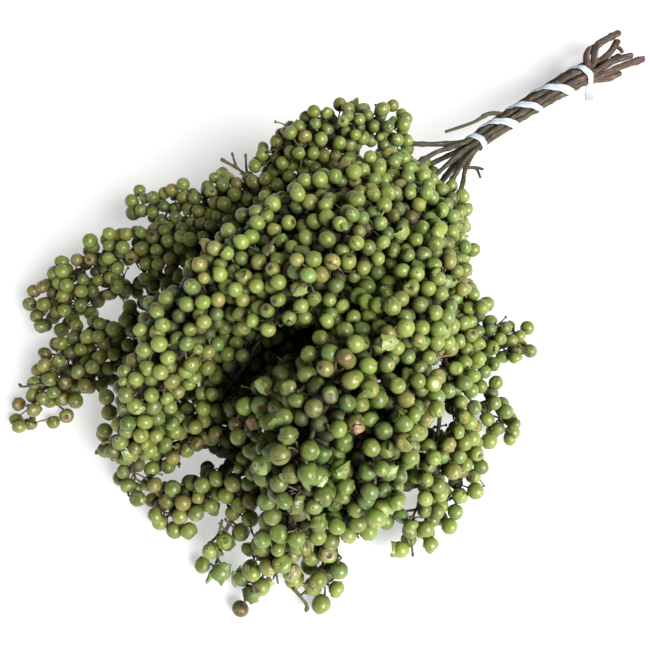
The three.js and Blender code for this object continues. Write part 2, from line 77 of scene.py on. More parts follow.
STEMS = {
    "stem_top": dict(at=24, into=[[38.4, 22.4, 41.4], [26, 24, 48], [13.2, 28.4, 53.6]], end=[[160, 29, 14.6], [171, 29.4, 14.2], [182, 32.8, 13.8]],
                     twigs=[dict(r=(1.2, 0.9), root="end", path=[[178.3, 31.4, 14.2], [179.2, 28, 13.4], [178.4, 25.8, 13]]),
                            dict(r=(1.05, 0.75), root=0.24, path=[[70, 28.2, 35], [60.4, 28.2, 36.2], [52.5, 29.9, 36.6], [44.7, 32.6, 36.2]])]),
    "stem_centre_left": dict(at=75, into=[[36.5, 19.6, 43], [22, 18.4, 49.8], [6.3, 16, 55]], end=[[158.5, 32, 21.8], [166, 34.8, 19.6], [175, 35.8, 17.4], [186.5, 36.2, 15]],
                             twigs=[dict(r=(1.8, 1.35), root=0.75, path=[[152.6, 32.4, 20.8], [157.5, 34.4, 20.9], [164, 35.1, 20]])]),
    "stem_centre": dict(at=127, into=[[36.5, 16, 41], [22, 11.6, 46.8], [5.4, 6.6, 53]], end=[[162, 24.2, 15.6], [171, 23.8, 13.8], [181, 21.6, 12.2]], twigs=[]),
    "stem_right_top": dict(at=178, into=[[37, 13, 38.2], [26, 7.8, 42], [12.7, 2, 46.5]], end=[[162, 21.4, 12], [173, 20.2, 10.8], [187.5, 17.2, 9.2]], twigs=[]),
    "stem_right_edge": dict(at=230, into=[[38, 11.8, 34], [28.2, 4.6, 36.6], [17, -2.6, 39.8]], end=[[161, 21.4, 7.6], [172, 19.8, 6]],
                            twigs=[dict(r=(0.8, 0.55), root=-0.08, path=[[41.4, 8.6, 34.4], [43.2, 5.4, 34.6]]),
                                   dict(r=(0.75, 0.5), root=-0.08, path=[[41.2, 8.2, 34], [39.6, 3.4, 33]])]),
    "stem_base": dict(at=281, into=[[38, 18.2, 27.8], [30, 18.2, 23.6], [20, 18.4, 19]], end=[[163, 25.6, 5.2], [176, 24.4, 2]], twigs=[]),
    "stem_back": dict(at=332, into=[[38, 22, 34.4], [31, 23.4, 33.8], [22, 25.2, 33.2]], end=[[162, 31.4, 9.4], [173, 32.4, 6.4]], twigs=[]),
    "stem_core": dict(at=None, into=[[37, 16.6, 36.2], [25, 12.6, 36.8], [13.8, 8.8, 37.2]], end=[[166, 26.6, 10.2], [180, 28, 8.4]], twigs=[]),
}

# ---- camera: the photograph's view -----------------------------------------
CAM_AT = np.array([-173.6, -138.3, 322.0]) + SHIFT
CAM_FWD = np.array([0.3213938, 0.38302222, -0.8660254])
CAM_UP = np.array([0.5566704, 0.66341395, 0.5])
CAM_RIGHT = np.cross(CAM_FWD, CAM_UP)
FOCAL_PX = 804.0
cam_data = bpy.data.cameras.new("photo_camera")
cam_data.sensor_width = 36.0
cam_data.lens = 36.0 * FOCAL_PX / 650.0
cam_data.clip_start = 0.01
cam_data.clip_end = 20.0
cam = bpy.data.objects.new("photo_camera", cam_data)
bpy.context.scene.collection.objects.link(cam)
cam.matrix_world = Matrix((
    (CAM_RIGHT[0], CAM_UP[0], -CAM_FWD[0], CAM_AT[0] * MM),
    (CAM_RIGHT[1], CAM_UP[1], -CAM_FWD[1], CAM_AT[1] * MM),
    (CAM_RIGHT[2], CAM_UP[2], -CAM_FWD[2], CAM_AT[2] * MM),
    (0, 0, 0, 1)))
bpy.context.scene.camera = cam


# ---- small helpers ------------------------------------------------------------
def unit(v):
    v = np.asarray(v, float)
    return v / np.maximum(np.linalg.norm(v, axis=-1, keepdims=True), 1e-9)


def smooth(a, b, x):
    t = np.clip((x - a) / (b - a), 0.0, 1.0)
    return t * t * (3 - 2 * t)


def lin(r, g, b):
    """sRGB 0-255 to linear."""
    c = np.array([r, g, b], float) / 255
    return np.where(c <= 0.04045, c / 12.92, ((c + 0.055) / 1.055) ** 2.4)


def curve_points(points, step):
    """Points every step mm along a centripetal Catmull-Rom curve, extra columns carried along."""
    P = np.asarray(points, float)
    Q = np.vstack([2 * P[0] - P[1], P, 2 * P[-1] - P[-2]])
    out = []
    for i in range(1, len(Q) - 2):
        p0, p1, p2, p3 = Q[i - 1:i + 3]
        d = [max(np.linalg.norm((b - a)[:3]) ** 0.5, 1e-3) for a, b in ((p0, p1), (p1, p2), (p2, p3))]
        t0, t1, t2, t3 = 0.0, d[0], d[0] + d[1], d[0] + d[1] + d[2]
        t = np.linspace(t1, t2, 24, endpoint=False)[:, None]
        a1 = (t1 - t) / (t1 - t0) * p0 + (t - t0) / (t1 - t0) * p1
        a2 = (t2 - t) / (t2 - t1) * p1 + (t - t1) / (t2 - t1) * p2
        a3 = (t3 - t) / (t3 - t2) * p2 + (t - t2) / (t3 - t2) * p3
        b1 = (t2 - t) / (t2 - t0) * a1 + (t - t0) / (t2 - t0) * a2
        b2 = (t3 - t) / (t3 - t1) * a2 + (t - t1) / (t3 - t1) * a3
        out.append((t2 - t) / (t2 - t1) * b1 + (t - t1) / (t2 - t1) * b2)
    out = np.vstack(out + [P[-1:]])
    seg = np.linalg.norm(np.diff(out[:, :3], axis=0), axis=1)
    s = np.concatenate([[0], np.cumsum(seg)])
    n = max(2, int(round(s[-1] / step)) + 1)
    u = np.linspace(0, s[-1], n)
    return np.stack([np.interp(u, s, out[:, k]) for k in range(out.shape[1])], 1)


def tangents(P):
    return unit(np.gradient(P[:, :3], axis=0))


def sliding_frames(P):
    """Tangent, normal and side along a path, with the least twist."""
    T = tangents(P)
    n = np.array([0.0, 0.0, 1.0]) if abs(T[0][2]) < 0.9 else np.array([1.0, 0.0, 0.0])
    N = np.zeros_like(T)
    for i, t in enumerate(T):
        n = unit(n - t * (n @ t))
        N[i] = n
    return T, N, np.cross(T, N)


def link_mesh(name, verts, faces, material, attrs=None, uv=None, flat=None):
    """A mesh object from vertices in mm and a list of face arrays (each all tris or all quads)."""
    me = bpy.data.meshes.new(name)
    V = (np.asarray(verts, float) * MM).astype(np.float32)
    loops = np.concatenate([f.ravel() for f in faces]).astype(np.int32)
    sizes = np.concatenate([np.full(len(f), f.shape[1]) for f in faces]).astype(np.int32)
    starts = np.concatenate([[0], np.cumsum(sizes)[:-1]]).astype(np.int32)
    me.vertices.add(len(V))
    me.vertices.foreach_set("co", V.ravel())
    me.loops.add(len(loops))
    me.loops.foreach_set("vertex_index", loops)
    me.polygons.add(len(sizes))
    me.polygons.foreach_set("loop_start", starts)
    me.update(calc_edges=True)
    sm = np.ones(len(sizes), bool)
    if flat is not None:
        sm[flat] = False
    me.polygons.foreach_set("use_smooth", sm)
    for key, (kind, values) in (attrs or {}).items():
        a = me.attributes.new(key, kind, "POINT")
        a.data.foreach_set("color" if kind == "FLOAT_COLOR" else "vector" if kind == "FLOAT_VECTOR" else "value",
                           np.asarray(values, np.float32).ravel())
    if uv is not None:
        layer = me.uv_layers.new(name="OFBake")
        layer.data.foreach_set("uv", np.asarray(uv, np.float32).ravel())
    me.materials.append(material)
    ob = bpy.data.objects.new(name, me)
    bpy.context.scene.collection.objects.link(ob)
    return ob


def tube_batch(paths, radii, sides):
    """Closed tubes of one topology: paths (N, m, 3), radii (N, m). Gives vertices, faces and per-vertex/loop data."""
    paths = np.asarray(paths, float)
    N, m, _ = paths.shape
    T = unit(np.gradient(paths, axis=1))
    ref = np.where(np.abs(T[:, :1, 2:3]) < 0.85, np.array([[[0.0, 0.0, 1.0]]]), np.array([[[1.0, 0.0, 0.0]]]))
    n = np.zeros_like(T)
    prev = np.broadcast_to(ref[:, 0], (N, 3))
    for i in range(m):
        t = T[:, i]
        prev = unit(prev - t * (prev * t).sum(1, keepdims=True))
        n[:, i] = prev
    b = np.cross(T, n)
    a = np.arange(sides) / sides * 2 * np.pi
    ring = (paths[:, :, None] + radii[:, :, None, None] *
            (np.cos(a)[None, None, :, None] * n[:, :, None] + np.sin(a)[None, None, :, None] * b[:, :, None]))
    nv = m * sides + 2
    V = np.concatenate([ring.reshape(N, m * sides, 3), paths[:, :1], paths[:, -1:]], 1)
    i, j = np.meshgrid(np.arange(m - 1), np.arange(sides), indexing="ij")
    j2 = (j + 1) % sides
    quads = np.stack([i * sides + j, i * sides + j2, (i + 1) * sides + j2, (i + 1) * sides + j], -1).reshape(-1, 4)
    k = np.arange(sides)
    k2 = (k + 1) % sides
    c0, c1 = m * sides, m * sides + 1
    tri0 = np.stack([np.full(sides, c0), k2, k], -1)
    tri1 = np.stack([np.full(sides, c1), (m - 1) * sides + k, (m - 1) * sides + k2], -1)
    # chart: along the tube in v, around it in u
    uq = np.stack([j, j + 1, j + 1, j], -1).reshape(-1, 4) / sides
    vq = np.stack([i, i, i + 1, i + 1], -1).reshape(-1, 4) / (m - 1) * 0.92 + 0.04
    ut0 = np.stack([(k + 0.5), k + 1.0, k + 0.0], -1) / sides
    vt0 = np.tile([0.0, 0.04, 0.04], (sides, 1))
    ut1 = np.stack([(k + 0.5), k + 0.0, k + 1.0], -1) / sides
    vt1 = np.tile([1.0, 0.96, 0.96], (sides, 1))
    off = (np.arange(N) * nv)[:, None, None]
    Q = (quads[None] + off).reshape(-1, 4)
    Tr = (np.concatenate([tri0, tri1])[None] + off).reshape(-1, 3)
    cuv_q = np.stack([uq, vq], -1)
    cuv_t = np.stack([np.concatenate([ut0, ut1]), np.concatenate([vt0, vt1])], -1)
    s = np.concatenate([np.zeros((N, 1)), np.cumsum(np.linalg.norm(np.diff(paths, axis=1), axis=2), 1)], 1)
    along = np.concatenate([np.repeat(s, sides, 1), s[:, :1], s[:, -1:]], 1)
    ca = np.concatenate([np.tile(np.cos(a), m), [0, 0]])
    sa = np.concatenate([np.tile(np.sin(a), m), [0, 0]])
    tc = np.stack([along, np.broadcast_to(ca, along.shape), np.broadcast_to(sa, along.shape)], -1)
    return dict(V=V.reshape(-1, 3), Q=Q, T=Tr, uv_q=cuv_q, uv_t=cuv_t, n=N, nv=nv, tc=tc.reshape(-1, 3))


class Strands:
    """Gathers tubes of many topologies into one mesh."""

    def __init__(self):
        self.parts = []

    def add(self, paths, radii, sides, colour):
        paths = np.asarray(paths, float)
        if paths.ndim == 2:
            paths = paths[None]
        radii = np.asarray(radii, float)
        if radii.ndim == 1:
            radii = np.broadcast_to(radii, paths.shape[:2])
        if len(paths) == 0:
            return
        t = tube_batch(paths, radii, sides)
        col = np.asarray(colour, float)
        if col.ndim == 1:
            col = np.broadcast_to(col, (t["n"], 3))
        t["col"] = np.repeat(col, t["nv"], 0)
        self.parts.append(t)

    def build(self, name, material):
        total = sum(t["n"] for t in self.parts)
        cols = max(1, int(math.ceil(math.sqrt(total * 3))))
        rows = int(math.ceil(total / cols))
        V, Q, T, uq, ut, tc, col = [], [], [], [], [], [], []
        base, cell = 0, 0
        for t in self.parts:
            V.append(t["V"])
            Q.append(t["Q"] + base)
            T.append(t["T"] + base)
            tc.append(t["tc"] + np.repeat(rng.uniform(0, 50, (t["n"], 1)), t["nv"], 0) * np.array([1, 0, 0]))
            col.append(t["col"])
            idx = np.arange(cell, cell + t["n"])
            o = np.stack([idx % cols, idx // cols], -1)[:, None, None]
            size = np.array([1 / cols, 1 / rows])
            for key, store in (("uv_q", uq), ("uv_t", ut)):
                store.append(((o + 0.06 + 0.88 * t[key][None]) * size).reshape(-1, 2))
            base += len(t["V"])
            cell += t["n"]
        faces = [np.concatenate(Q), np.concatenate(T)]
        uv = np.concatenate(uq + ut)
        V = np.concatenate(V)
        V[:, 2] = np.maximum(V[:, 2], 0.12)
        c = np.concatenate(col)
        return link_mesh(name, V, faces, material,
                         {"tc": ("FLOAT_VECTOR", np.concatenate(tc)),
                          "tcol": ("FLOAT_COLOR", np.concatenate([c, np.ones((len(c), 1))], 1))}, uv)


# ---- materials -------------------------------------------------------------------
def new_material(name):
    m = bpy.data.materials.new(name)
    m.use_nodes = True
    nt = m.node_tree
    nt.nodes.clear()
    out = nt.nodes.new("ShaderNodeOutputMaterial")
    bsdf = nt.nodes.new("ShaderNodeBsdfPrincipled")
    nt.links.new(bsdf.outputs[0], out.inputs[0])
    return m, nt, bsdf


def node(nt, kind, **props):
    n = nt.nodes.new(kind)
    for k, v in props.items():
        if isinstance(k, str) and hasattr(n, k):
            setattr(n, k, v)
    return n


def attr(nt, name):
    n = nt.nodes.new("ShaderNodeAttribute")
    n.attribute_name = name
    return n


def math_node(nt, op, a, b=None, c=None, clamp=False):
    n = nt.nodes.new("ShaderNodeMath")
    n.operation = op
    n.use_clamp = clamp
    for i, v in enumerate((a, b, c)):
        if v is None:
            continue
        if isinstance(v, (int, float)):
            n.inputs[i].default_value = v
        else:
            nt.links.new(v, n.inputs[i])
    return n.outputs[0]


def mix_col(nt, fac, a, b, blend="MIX"):
    n = nt.nodes.new("ShaderNodeMix")
    n.data_type = "RGBA"
    n.blend_type = blend
    n.clamp_factor = True
    for sock, v in ((n.inputs[0], fac), (n.inputs[6], a), (n.inputs[7], b)):
        if isinstance(v, (int, float)):
            sock.default_value = v
        elif isinstance(v, (tuple, list, np.ndarray)):
            sock.default_value = (*[float(x) for x in v[:3]], 1.0)
        else:
            nt.links.new(v, sock)
    return n.outputs[2]


def ramp(nt, fac, lo, hi):
    """A smooth step of fac from lo to hi."""
    n = nt.nodes.new("ShaderNodeMapRange")
    n.interpolation_type = "SMOOTHSTEP"
    n.inputs[1].default_value = lo
    n.inputs[2].default_value = hi
    nt.links.new(fac, n.inputs[0])
    return n.outputs[0]


def noise(nt, vec, scale, detail=3.0, rough=0.55, distortion=0.0):
    n = nt.nodes.new("ShaderNodeTexNoise")
    n.inputs["Scale"].default_value = scale
    n.inputs["Detail"].default_value = detail
    n.inputs["Roughness"].default_value = rough
    n.inputs["Distortion"].default_value = distortion
    nt.links.new(vec, n.inputs["Vector"])
    return n.outputs["Fac"]


def vmath(nt, op, a, b=None, scale=None):
    n = nt.nodes.new("ShaderNodeVectorMath")
    n.operation = op
    for i, v in enumerate((a, b)):
        if v is None:
            continue
        if isinstance(v, (tuple, list)):
            n.inputs[i].default_value = v
        else:
            nt.links.new(v, n.inputs[i])
    if scale is not None:
        n.inputs["Scale"].default_value = scale
    return n.outputs["Value"] if op in ("LENGTH", "DOT_PRODUCT", "DISTANCE") else n.outputs["Vector"]


def berry_material():
    m, nt, bsdf = new_material("dried_berry_skin")
    loc = attr(nt, "bl").outputs["Vector"]       # direction on the berry, +Z at the style scar
    skin = attr(nt, "bcol")                       # this berry's own skin colour; its alpha is painted shade, lower the deeper the point sits in the bunch
    col = skin.outputs["Color"]
    rnd = attr(nt, "brnd").outputs["Vector"]     # noise offset, blotchiness, crackedness
    sep = node(nt, "ShaderNodeSeparateXYZ")
    nt.links.new(rnd, sep.inputs[0])
    off = vmath(nt, "MULTIPLY", rnd, (17.0, 0.0, 0.0))
    p = vmath(nt, "ADD", loc, off)
    lsep = node(nt, "ShaderNodeSeparateXYZ")
    nt.links.new(loc, lsep.inputs[0])
    xy = vmath(nt, "LENGTH", vmath(nt, "MULTIPLY", loc, (1.0, 1.0, 0.0)))
    top = math_node(nt, "GREATER_THAN", lsep.outputs[2], 0.0)
    # mottling of the skin: lighter and yellower patches, deeper green ones
    n1 = noise(nt, p, 1.6, 4.0, 0.6)
    n2 = noise(nt, p, 5.0, 4.0, 0.6)
    n3 = noise(nt, p, 16.0, 3.0, 0.6)
    c = mix_col(nt, math_node(nt, "MULTIPLY", ramp(nt, n1, 0.38, 0.7), 0.42), col, lin(146, 152, 80))
    c = mix_col(nt, math_node(nt, "MULTIPLY", ramp(nt, n2, 0.5, 0.75), 0.3), c, lin(80, 104, 42))
    # dry tan and brown blotches on some berries
    bl = math_node(nt, "MULTIPLY", ramp(nt, noise(nt, vmath(nt, "ADD", p, (5.0, 3.0, 1.0)), 1.5, 5.0, 0.6), 0.5, 0.68), sep.outputs[1])
    c = mix_col(nt, math_node(nt, "MULTIPLY", bl, 0.85), c, lin(132, 100, 50))
    # fine specks
    c = mix_col(nt, math_node(nt, "MULTIPLY", ramp(nt, n3, 0.66, 0.78), 0.25), c, lin(84, 66, 30))
    # a curved split in the skin of some
    turn = node(nt, "ShaderNodeCombineXYZ")
    turn2 = node(nt, "ShaderNodeCombineXYZ")
    for k, (f, g) in enumerate(((12.9, 45.1), (78.2, 23.3), (37.7, 91.7))):
        nt.links.new(math_node(nt, "SINE", math_node(nt, "MULTIPLY", sep.outputs[0], f)), turn.inputs[k])
        nt.links.new(math_node(nt, "SINE", math_node(nt, "MULTIPLY", sep.outputs[0], g)), turn2.inputs[k])
    across = vmath(nt, "DOT_PRODUCT", loc, vmath(nt, "NORMALIZE", turn.outputs[0]))
    reach = vmath(nt, "DOT_PRODUCT", loc, vmath(nt, "NORMALIZE", turn2.outputs[0]))
    wave = math_node(nt, "MULTIPLY", math_node(nt, "SUBTRACT", noise(nt, p, 2.6, 2.0), 0.5), 0.45)
    line = math_node(nt, "ABSOLUTE", math_node(nt, "ADD", across, wave))
    burst = math_node(nt, "GREATER_THAN", sep.outputs[2], 1.5)
    part = math_node(nt, "MULTIPLY", ramp(nt, reach, 0.15, 0.4), math_node(nt, "SUBTRACT", sep.outputs[2], math_node(nt, "MULTIPLY", burst, 2.0)))
    crack = math_node(nt, "MULTIPLY", math_node(nt, "SUBTRACT", 1.0, ramp(nt, line, 0.025, 0.09)), part)
    c = mix_col(nt, crack, c, lin(60, 42, 22))
    # style scar: reddish-brown dot in a pale disc, and the dry rim at the pedicel
    size = math_node(nt, "ADD", math_node(nt, "MULTIPLY", math_node(nt, "FRACT", math_node(nt, "MULTIPLY", sep.outputs[0], 7.3)), 0.9), 0.65)
    wob = math_node(nt, "ADD", math_node(nt, "DIVIDE", xy, size), math_node(nt, "MULTIPLY", math_node(nt, "SUBTRACT", n3, 0.5), 0.12))
    ring = math_node(nt, "MULTIPLY", math_node(nt, "SUBTRACT", 1.0, ramp(nt, wob, 0.16, 0.36)), top)
    dot = math_node(nt, "MULTIPLY", math_node(nt, "SUBTRACT", 1.0, ramp(nt, wob, 0.06, 0.17)), top)
    c = mix_col(nt, math_node(nt, "MULTIPLY", ring, 0.5), c, lin(184, 182, 118))
    c = mix_col(nt, math_node(nt, "MULTIPLY", dot, 0.85), c, lin(116, 66, 36))
    mouth = math_node(nt, "ADD", xy, math_node(nt, "MULTIPLY", math_node(nt, "SUBTRACT", n2, 0.5), 0.8))
    lip = math_node(nt, "MULTIPLY", math_node(nt, "MULTIPLY", math_node(nt, "SUBTRACT", 1.0, ramp(nt, mouth, 0.52, 0.74)), top), burst)
    pit = math_node(nt, "MULTIPLY", math_node(nt, "MULTIPLY", math_node(nt, "SUBTRACT", 1.0, ramp(nt, mouth, 0.34, 0.5)), top), burst)
    c = mix_col(nt, math_node(nt, "MULTIPLY", lip, 0.7), c, lin(150, 142, 92))
    c = mix_col(nt, math_node(nt, "MULTIPLY", pit, 0.9), c, mix_col(nt, ramp(nt, n3, 0.4, 0.65), lin(42, 28, 18), lin(110, 74, 52)))
    foot = math_node(nt, "MULTIPLY", math_node(nt, "SUBTRACT", 1.0, ramp(nt, wob, 0.16, 0.42)),
                     math_node(nt, "SUBTRACT", 1.0, top))
    c = mix_col(nt, math_node(nt, "MULTIPLY", foot, 0.8), c, lin(92, 70, 40))
    # painted shade: the deeper a point of the skin sits in the bunch, the more it is mixed toward dark olive, and the
    # rougher it gets
    inside = math_node(nt, "SUBTRACT", 1.0, skin.outputs["Alpha"])
    c = mix_col(nt, inside, c, lin(24, 22, 9))
    nt.links.new(c, bsdf.inputs["Base Color"])
    rough = math_node(nt, "ADD", math_node(nt, "MULTIPLY", n2, 0.2), 0.22)
    rough = math_node(nt, "ADD", rough, math_node(nt, "MULTIPLY", math_node(nt, "MAXIMUM", math_node(nt, "MAXIMUM", bl, crack), inside), 0.4))
    nt.links.new(rough, bsdf.inputs["Roughness"])
    bsdf.inputs["Specular IOR Level"].default_value = 0.5
    h = math_node(nt, "ADD", math_node(nt, "MULTIPLY", n3, 0.35), math_node(nt, "MULTIPLY", n2, 0.5))
    h = math_node(nt, "SUBTRACT", h, math_node(nt, "MULTIPLY", crack, 0.7))
    h = math_node(nt, "SUBTRACT", h, math_node(nt, "MULTIPLY", dot, 0.4))
    bump = node(nt, "ShaderNodeBump")
    bump.inputs["Strength"].default_value = 0.22
    bump.inputs["Distance"].default_value = 0.00025
    nt.links.new(h, bump.inputs["Height"])
    nt.links.new(bump.outputs[0], bsdf.inputs["Normal"])
    return m


def _noise_colour(nt, vec, scale):
    n = nt.nodes.new("ShaderNodeTexNoise")
    n.inputs["Scale"].default_value = scale
    n.inputs["Detail"].default_value = 2.0
    nt.links.new(vec, n.inputs["Vector"])
    return n.outputs["Color"]


def bark_material(name, rough_lo, bump_d):
    m, nt, bsdf = new_material(name)
    tc = attr(nt, "tc").outputs["Vector"]        # millimetres along, then round the twig
    col = attr(nt, "tcol").outputs["Color"]
    p = vmath(nt, "MULTIPLY", tc, (0.04, 1.3, 1.3))
    q = vmath(nt, "MULTIPLY", tc, (0.08, 1.1, 1.1))
    n1 = noise(nt, p, 1.6, 5.0, 0.62)
    n2 = noise(nt, q, 2.4, 4.0, 0.6)
    n3 = noise(nt, vmath(nt, "MULTIPLY", tc, (0.2, 4.0, 4.0)), 2.2, 4.0, 0.6)
    dark = mix_col(nt, 0.85, col, lin(30, 23, 16))
    pale = mix_col(nt, 0.65, col, lin(158, 148, 120))
    c = mix_col(nt, math_node(nt, "MULTIPLY", ramp(nt, n1, 0.44, 0.66), 0.9), col, dark)
    c = mix_col(nt, math_node(nt, "MULTIPLY", ramp(nt, n2, 0.5, 0.66), 0.6), c, pale)
    c = mix_col(nt, math_node(nt, "MULTIPLY", ramp(nt, n3, 0.5, 0.75), 0.5), c, dark)
    nt.links.new(c, bsdf.inputs["Base Color"])
    nt.links.new(math_node(nt, "ADD", math_node(nt, "MULTIPLY", n2, 0.25), rough_lo), bsdf.inputs["Roughness"])
    bsdf.inputs["Specular IOR Level"].default_value = 0.35
    h = math_node(nt, "ADD", math_node(nt, "MULTIPLY", n3, 0.6), math_node(nt, "MULTIPLY", n1, 0.5))
    bump = node(nt, "ShaderNodeBump")
    bump.inputs["Strength"].default_value = 0.7
    bump.inputs["Distance"].default_value = bump_d
    nt.links.new(h, bump.inputs["Height"])
    nt.links.new(bump.outputs[0], bsdf.inputs["Normal"])
    return m


def tie_material():
    m, nt, bsdf = new_material("white_tie_strip")
    tc = attr(nt, "tc").outputs["Vector"]        # millimetres along, across, 0
    w1 = node(nt, "ShaderNodeTexWave", wave_type="BANDS", bands_direction="Y")
    w1.inputs["Scale"].default_value = 1.6
    w1.inputs["Distortion"].default_value = 0.8
    nt.links.new(tc, w1.inputs["Vector"])
    n1 = noise(nt, vmath(nt, "MULTIPLY", tc, (0.15, 0.9, 1.0)), 1.4, 4.0, 0.6)
    n2 = noise(nt, tc, 4.0, 3.0, 0.6)
    c = mix_col(nt, ramp(nt, n1, 0.35, 0.7), lin(170, 184, 196), lin(190, 200, 210))
    c = mix_col(nt, math_node(nt, "MULTIPLY", ramp(nt, n2, 0.55, 0.8), 0.35), c, lin(160, 172, 184))
    nt.links.new(c, bsdf.inputs["Base Color"])
    nt.links.new(math_node(nt, "ADD", math_node(nt, "MULTIPLY", n1, 0.2), 0.45), bsdf.inputs["Roughness"])
    bsdf.inputs["Sheen Weight"].default_value = 0.2
    h = math_node(nt, "ADD", math_node(nt, "MULTIPLY", w1.outputs["Fac"], 0.5), math_node(nt, "MULTIPLY", n2, 0.4))
    bump = node(nt, "ShaderNodeBump")
    bump.inputs["Strength"].default_value = 0.4
    bump.inputs["Distance"].default_value = 0.00012
    nt.links.new(h, bump.inputs["Height"])
    nt.links.new(bump.outputs[0], bsdf.inputs["Normal"])
    return m


def floor_material():
    m, nt, bsdf = new_material("pale_floor")
    g = node(nt, "ShaderNodeTexCoord")
    n1 = noise(nt, g.outputs["Object"], 30.0, 3.0)
    c = mix_col(nt, n1, (0.52, 0.52, 0.52), (0.53, 0.53, 0.53))
    nt.links.new(c, bsdf.inputs["Base Color"])
    bsdf.inputs["Roughness"].default_value = 0.9
    bsdf.inputs["Emission Color"].default_value = (1.0, 1.0, 1.0, 1.0)
    bsdf.inputs["Emission Strength"].default_value = 0.5
    bsdf.inputs["Specular IOR Level"].default_value = 0.1
    return m


BERRY = berry_material()
TWIG = bark_material("dry_twig", 0.55, 0.0002)
BARK = bark_material("dry_stem_bark", 0.6, 0.0004)
TIE = tie_material()

# ---- branching of every spray -----------------------------------------------------------
NAMES = list(SPRAYS)
SPINE = {k: curve_points(np.asarray(v, float) + np.append(SHIFT, 0), 2.0) for k, v in SPRAYS.items()}
BALL = np.vstack([SPINE[k] for k in NAMES])                 # union of balls = the berry mass
BALL_OF = np.concatenate([np.full(len(SPINE[k]), i) for i, k in enumerate(NAMES)])
FIRST = np.searchsorted(BALL_OF, np.arange(len(NAMES)))
WAVES = [(unit(rng.normal(size=3)) * 6.283 / rng.uniform(16, 34), rng.uniform(0, 6.28)) for _ in range(14)]


def unevenness(P):
    """Smooth lumps and hollows in the berry mass, about -1 to 1."""
    return sum(np.cos(P @ w + f) for w, f in WAVES) / 3.4


def depth_of(P, blend=2.6):
    """Signed distance to the sprays' berry mass (negative inside, softly joined), and the nearest ball."""
    out = np.empty(len(P))
    arg = np.empty(len(P), int)
    for a in range(0, len(P), 4000):
        q = P[a:a + 4000]
        d2 = (q ** 2).sum(1)[:, None] + (BALL[:, :3] ** 2).sum(1)[None] - 2 * q @ BALL[:, :3].T
        d = np.sqrt(np.maximum(d2, 0)) - BALL[None, :, 3]
        arg[a:a + 4000] = d.argmin(1)
        each = np.minimum.reduceat(d, FIRST, axis=1)
        low = each.min(1)
        out[a:a + 4000] = low - blend * np.log(np.exp((low[:, None] - each) / blend).sum(1))
    return out, arg


BRANCHES = {}     # per spray: rachis line with radius, then branchlets (path, radius)
NODES, NODE_DIR, NODE_OF = [], [], []
for i, name in enumerate(NAMES):
    S = curve_points(np.asarray(SPRAYS[name], float) + np.append(SHIFT, 0), 1.0)
    T, N, B = sliding_frames(S)
    L = len(S)
    wob = np.stack([np.interp(np.arange(L), np.linspace(0, L, 9), rng.normal(0, 0.7, 9)) for _ in range(2)], 1)
    line = S[:, :3] + N * wob[:, :1] + B * wob[:, 1:]
    stop = max(8, int(L - 0.1 * S[-1, 3]))
    line = line[:stop]
    thick = np.interp(np.arange(stop), [0, stop * 0.5, stop - 1], [1.05, 0.8, 0.45])
    step = 3 if stop > 20 else 1
    paths, rads = [], []
    s, turn = 2.0, rng.uniform(0, 6.28)
    while s < stop - 1:
        k = int(s)
        turn += 2.39996 + rng.normal(0, 0.2)
        out = N[k] * math.cos(turn) + B[k] * math.sin(turn)
        lean = math.radians(rng.uniform(40, 68))
        d = unit(out * math.sin(lean) + T[k] * math.cos(lean))
        reach = max(S[k, 3] - 3.6, 2.5)
        length = reach / max(math.sin(lean), 0.6) * rng.uniform(0.5, 0.98)
        t = np.linspace(0, 1, 5)[:, None]
        drop = np.array([0, 0, -1.0]) * length * rng.uniform(0.0, 0.18)
        path = line[k] + d * (t * length) + out * (t ** 2) * length * 0.1 + drop * t ** 2
        path[:, 2] = np.maximum(path[:, 2], 0.9)
        paths.append(path)
        rads.append(np.linspace(0.66, 0.38, 5) * rng.uniform(0.85, 1.1))
        for f, at in ((0.5, 2), (0.78, 3), (1.0, 4)):
            NODES.append(path[at])
            NODE_DIR.append(unit(path[at] - path[at - 1]))
            NODE_OF.append(i)
        # a side shoot or two on the longer ones
        for _ in range(0 if length < 5 else 1 if length < 9 else 2):
            side = unit(np.cross(d, rng.normal(size=3)))
            d2 = unit(d * 0.6 + side * 0.8)
            l2 = length * rng.uniform(0.35, 0.6)
            p2 = path[2] + (path[3] - path[2]) * rng.random() + d2 * (t * l2) + drop * 0.6 * t ** 2
            p2[:, 2] = np.maximum(p2[:, 2], 0.9)
            paths.append(p2)
            rads.append(np.linspace(0.5, 0.36, 5) * rng.uniform(0.85, 1.1))
            for at in (2, 4):
                NODES.append(p2[at])
                NODE_DIR.append(unit(p2[at] - p2[at - 1]))
                NODE_OF.append(i)
        s += rng.uniform(2.8, 4.6)
    for k in range(2, stop, 4):
        NODES.append(line[k])
        NODE_DIR.append(unit(T[k] + rng.normal(0, 0.5, 3)))
        NODE_OF.append(i)
    BRANCHES[name] = (line[::step], thick[::step], np.array(paths), np.array(rads))
NODES, NODE_DIR, NODE_OF = np.array(NODES), np.array(NODE_DIR), np.array(NODE_OF)


# ---- where the berries sit -----------------------------------------------------------
class Grid:
    """Accepts points that keep their distance from those already taken."""

    def __init__(self, cell):
        self.cell, self.map = cell, {}
        self.P, self.r, self.tag = [], [], []

    def offer(self, p, r, share, tag):
        c = self.cell
        k = (int(p[0] // c), int(p[1] // c), int(p[2] // c))
        for dx in (-1, 0, 1):
            for dy in (-1, 0, 1):
                for dz in (-1, 0, 1):
                    for i in self.map.get((k[0] + dx, k[1] + dy, k[2] + dz), ()):
                        q = self.P[i]
                        m = share * (r + self.r[i])
                        if (p[0] - q[0]) ** 2 + (p[1] - q[1]) ** 2 + (p[2] - q[2]) ** 2 < m * m:
                            return False
        self.map.setdefault(k, []).append(len(self.P))
        self.P.append(p)
        self.r.append(r)
        self.tag.append(tag)
        return True


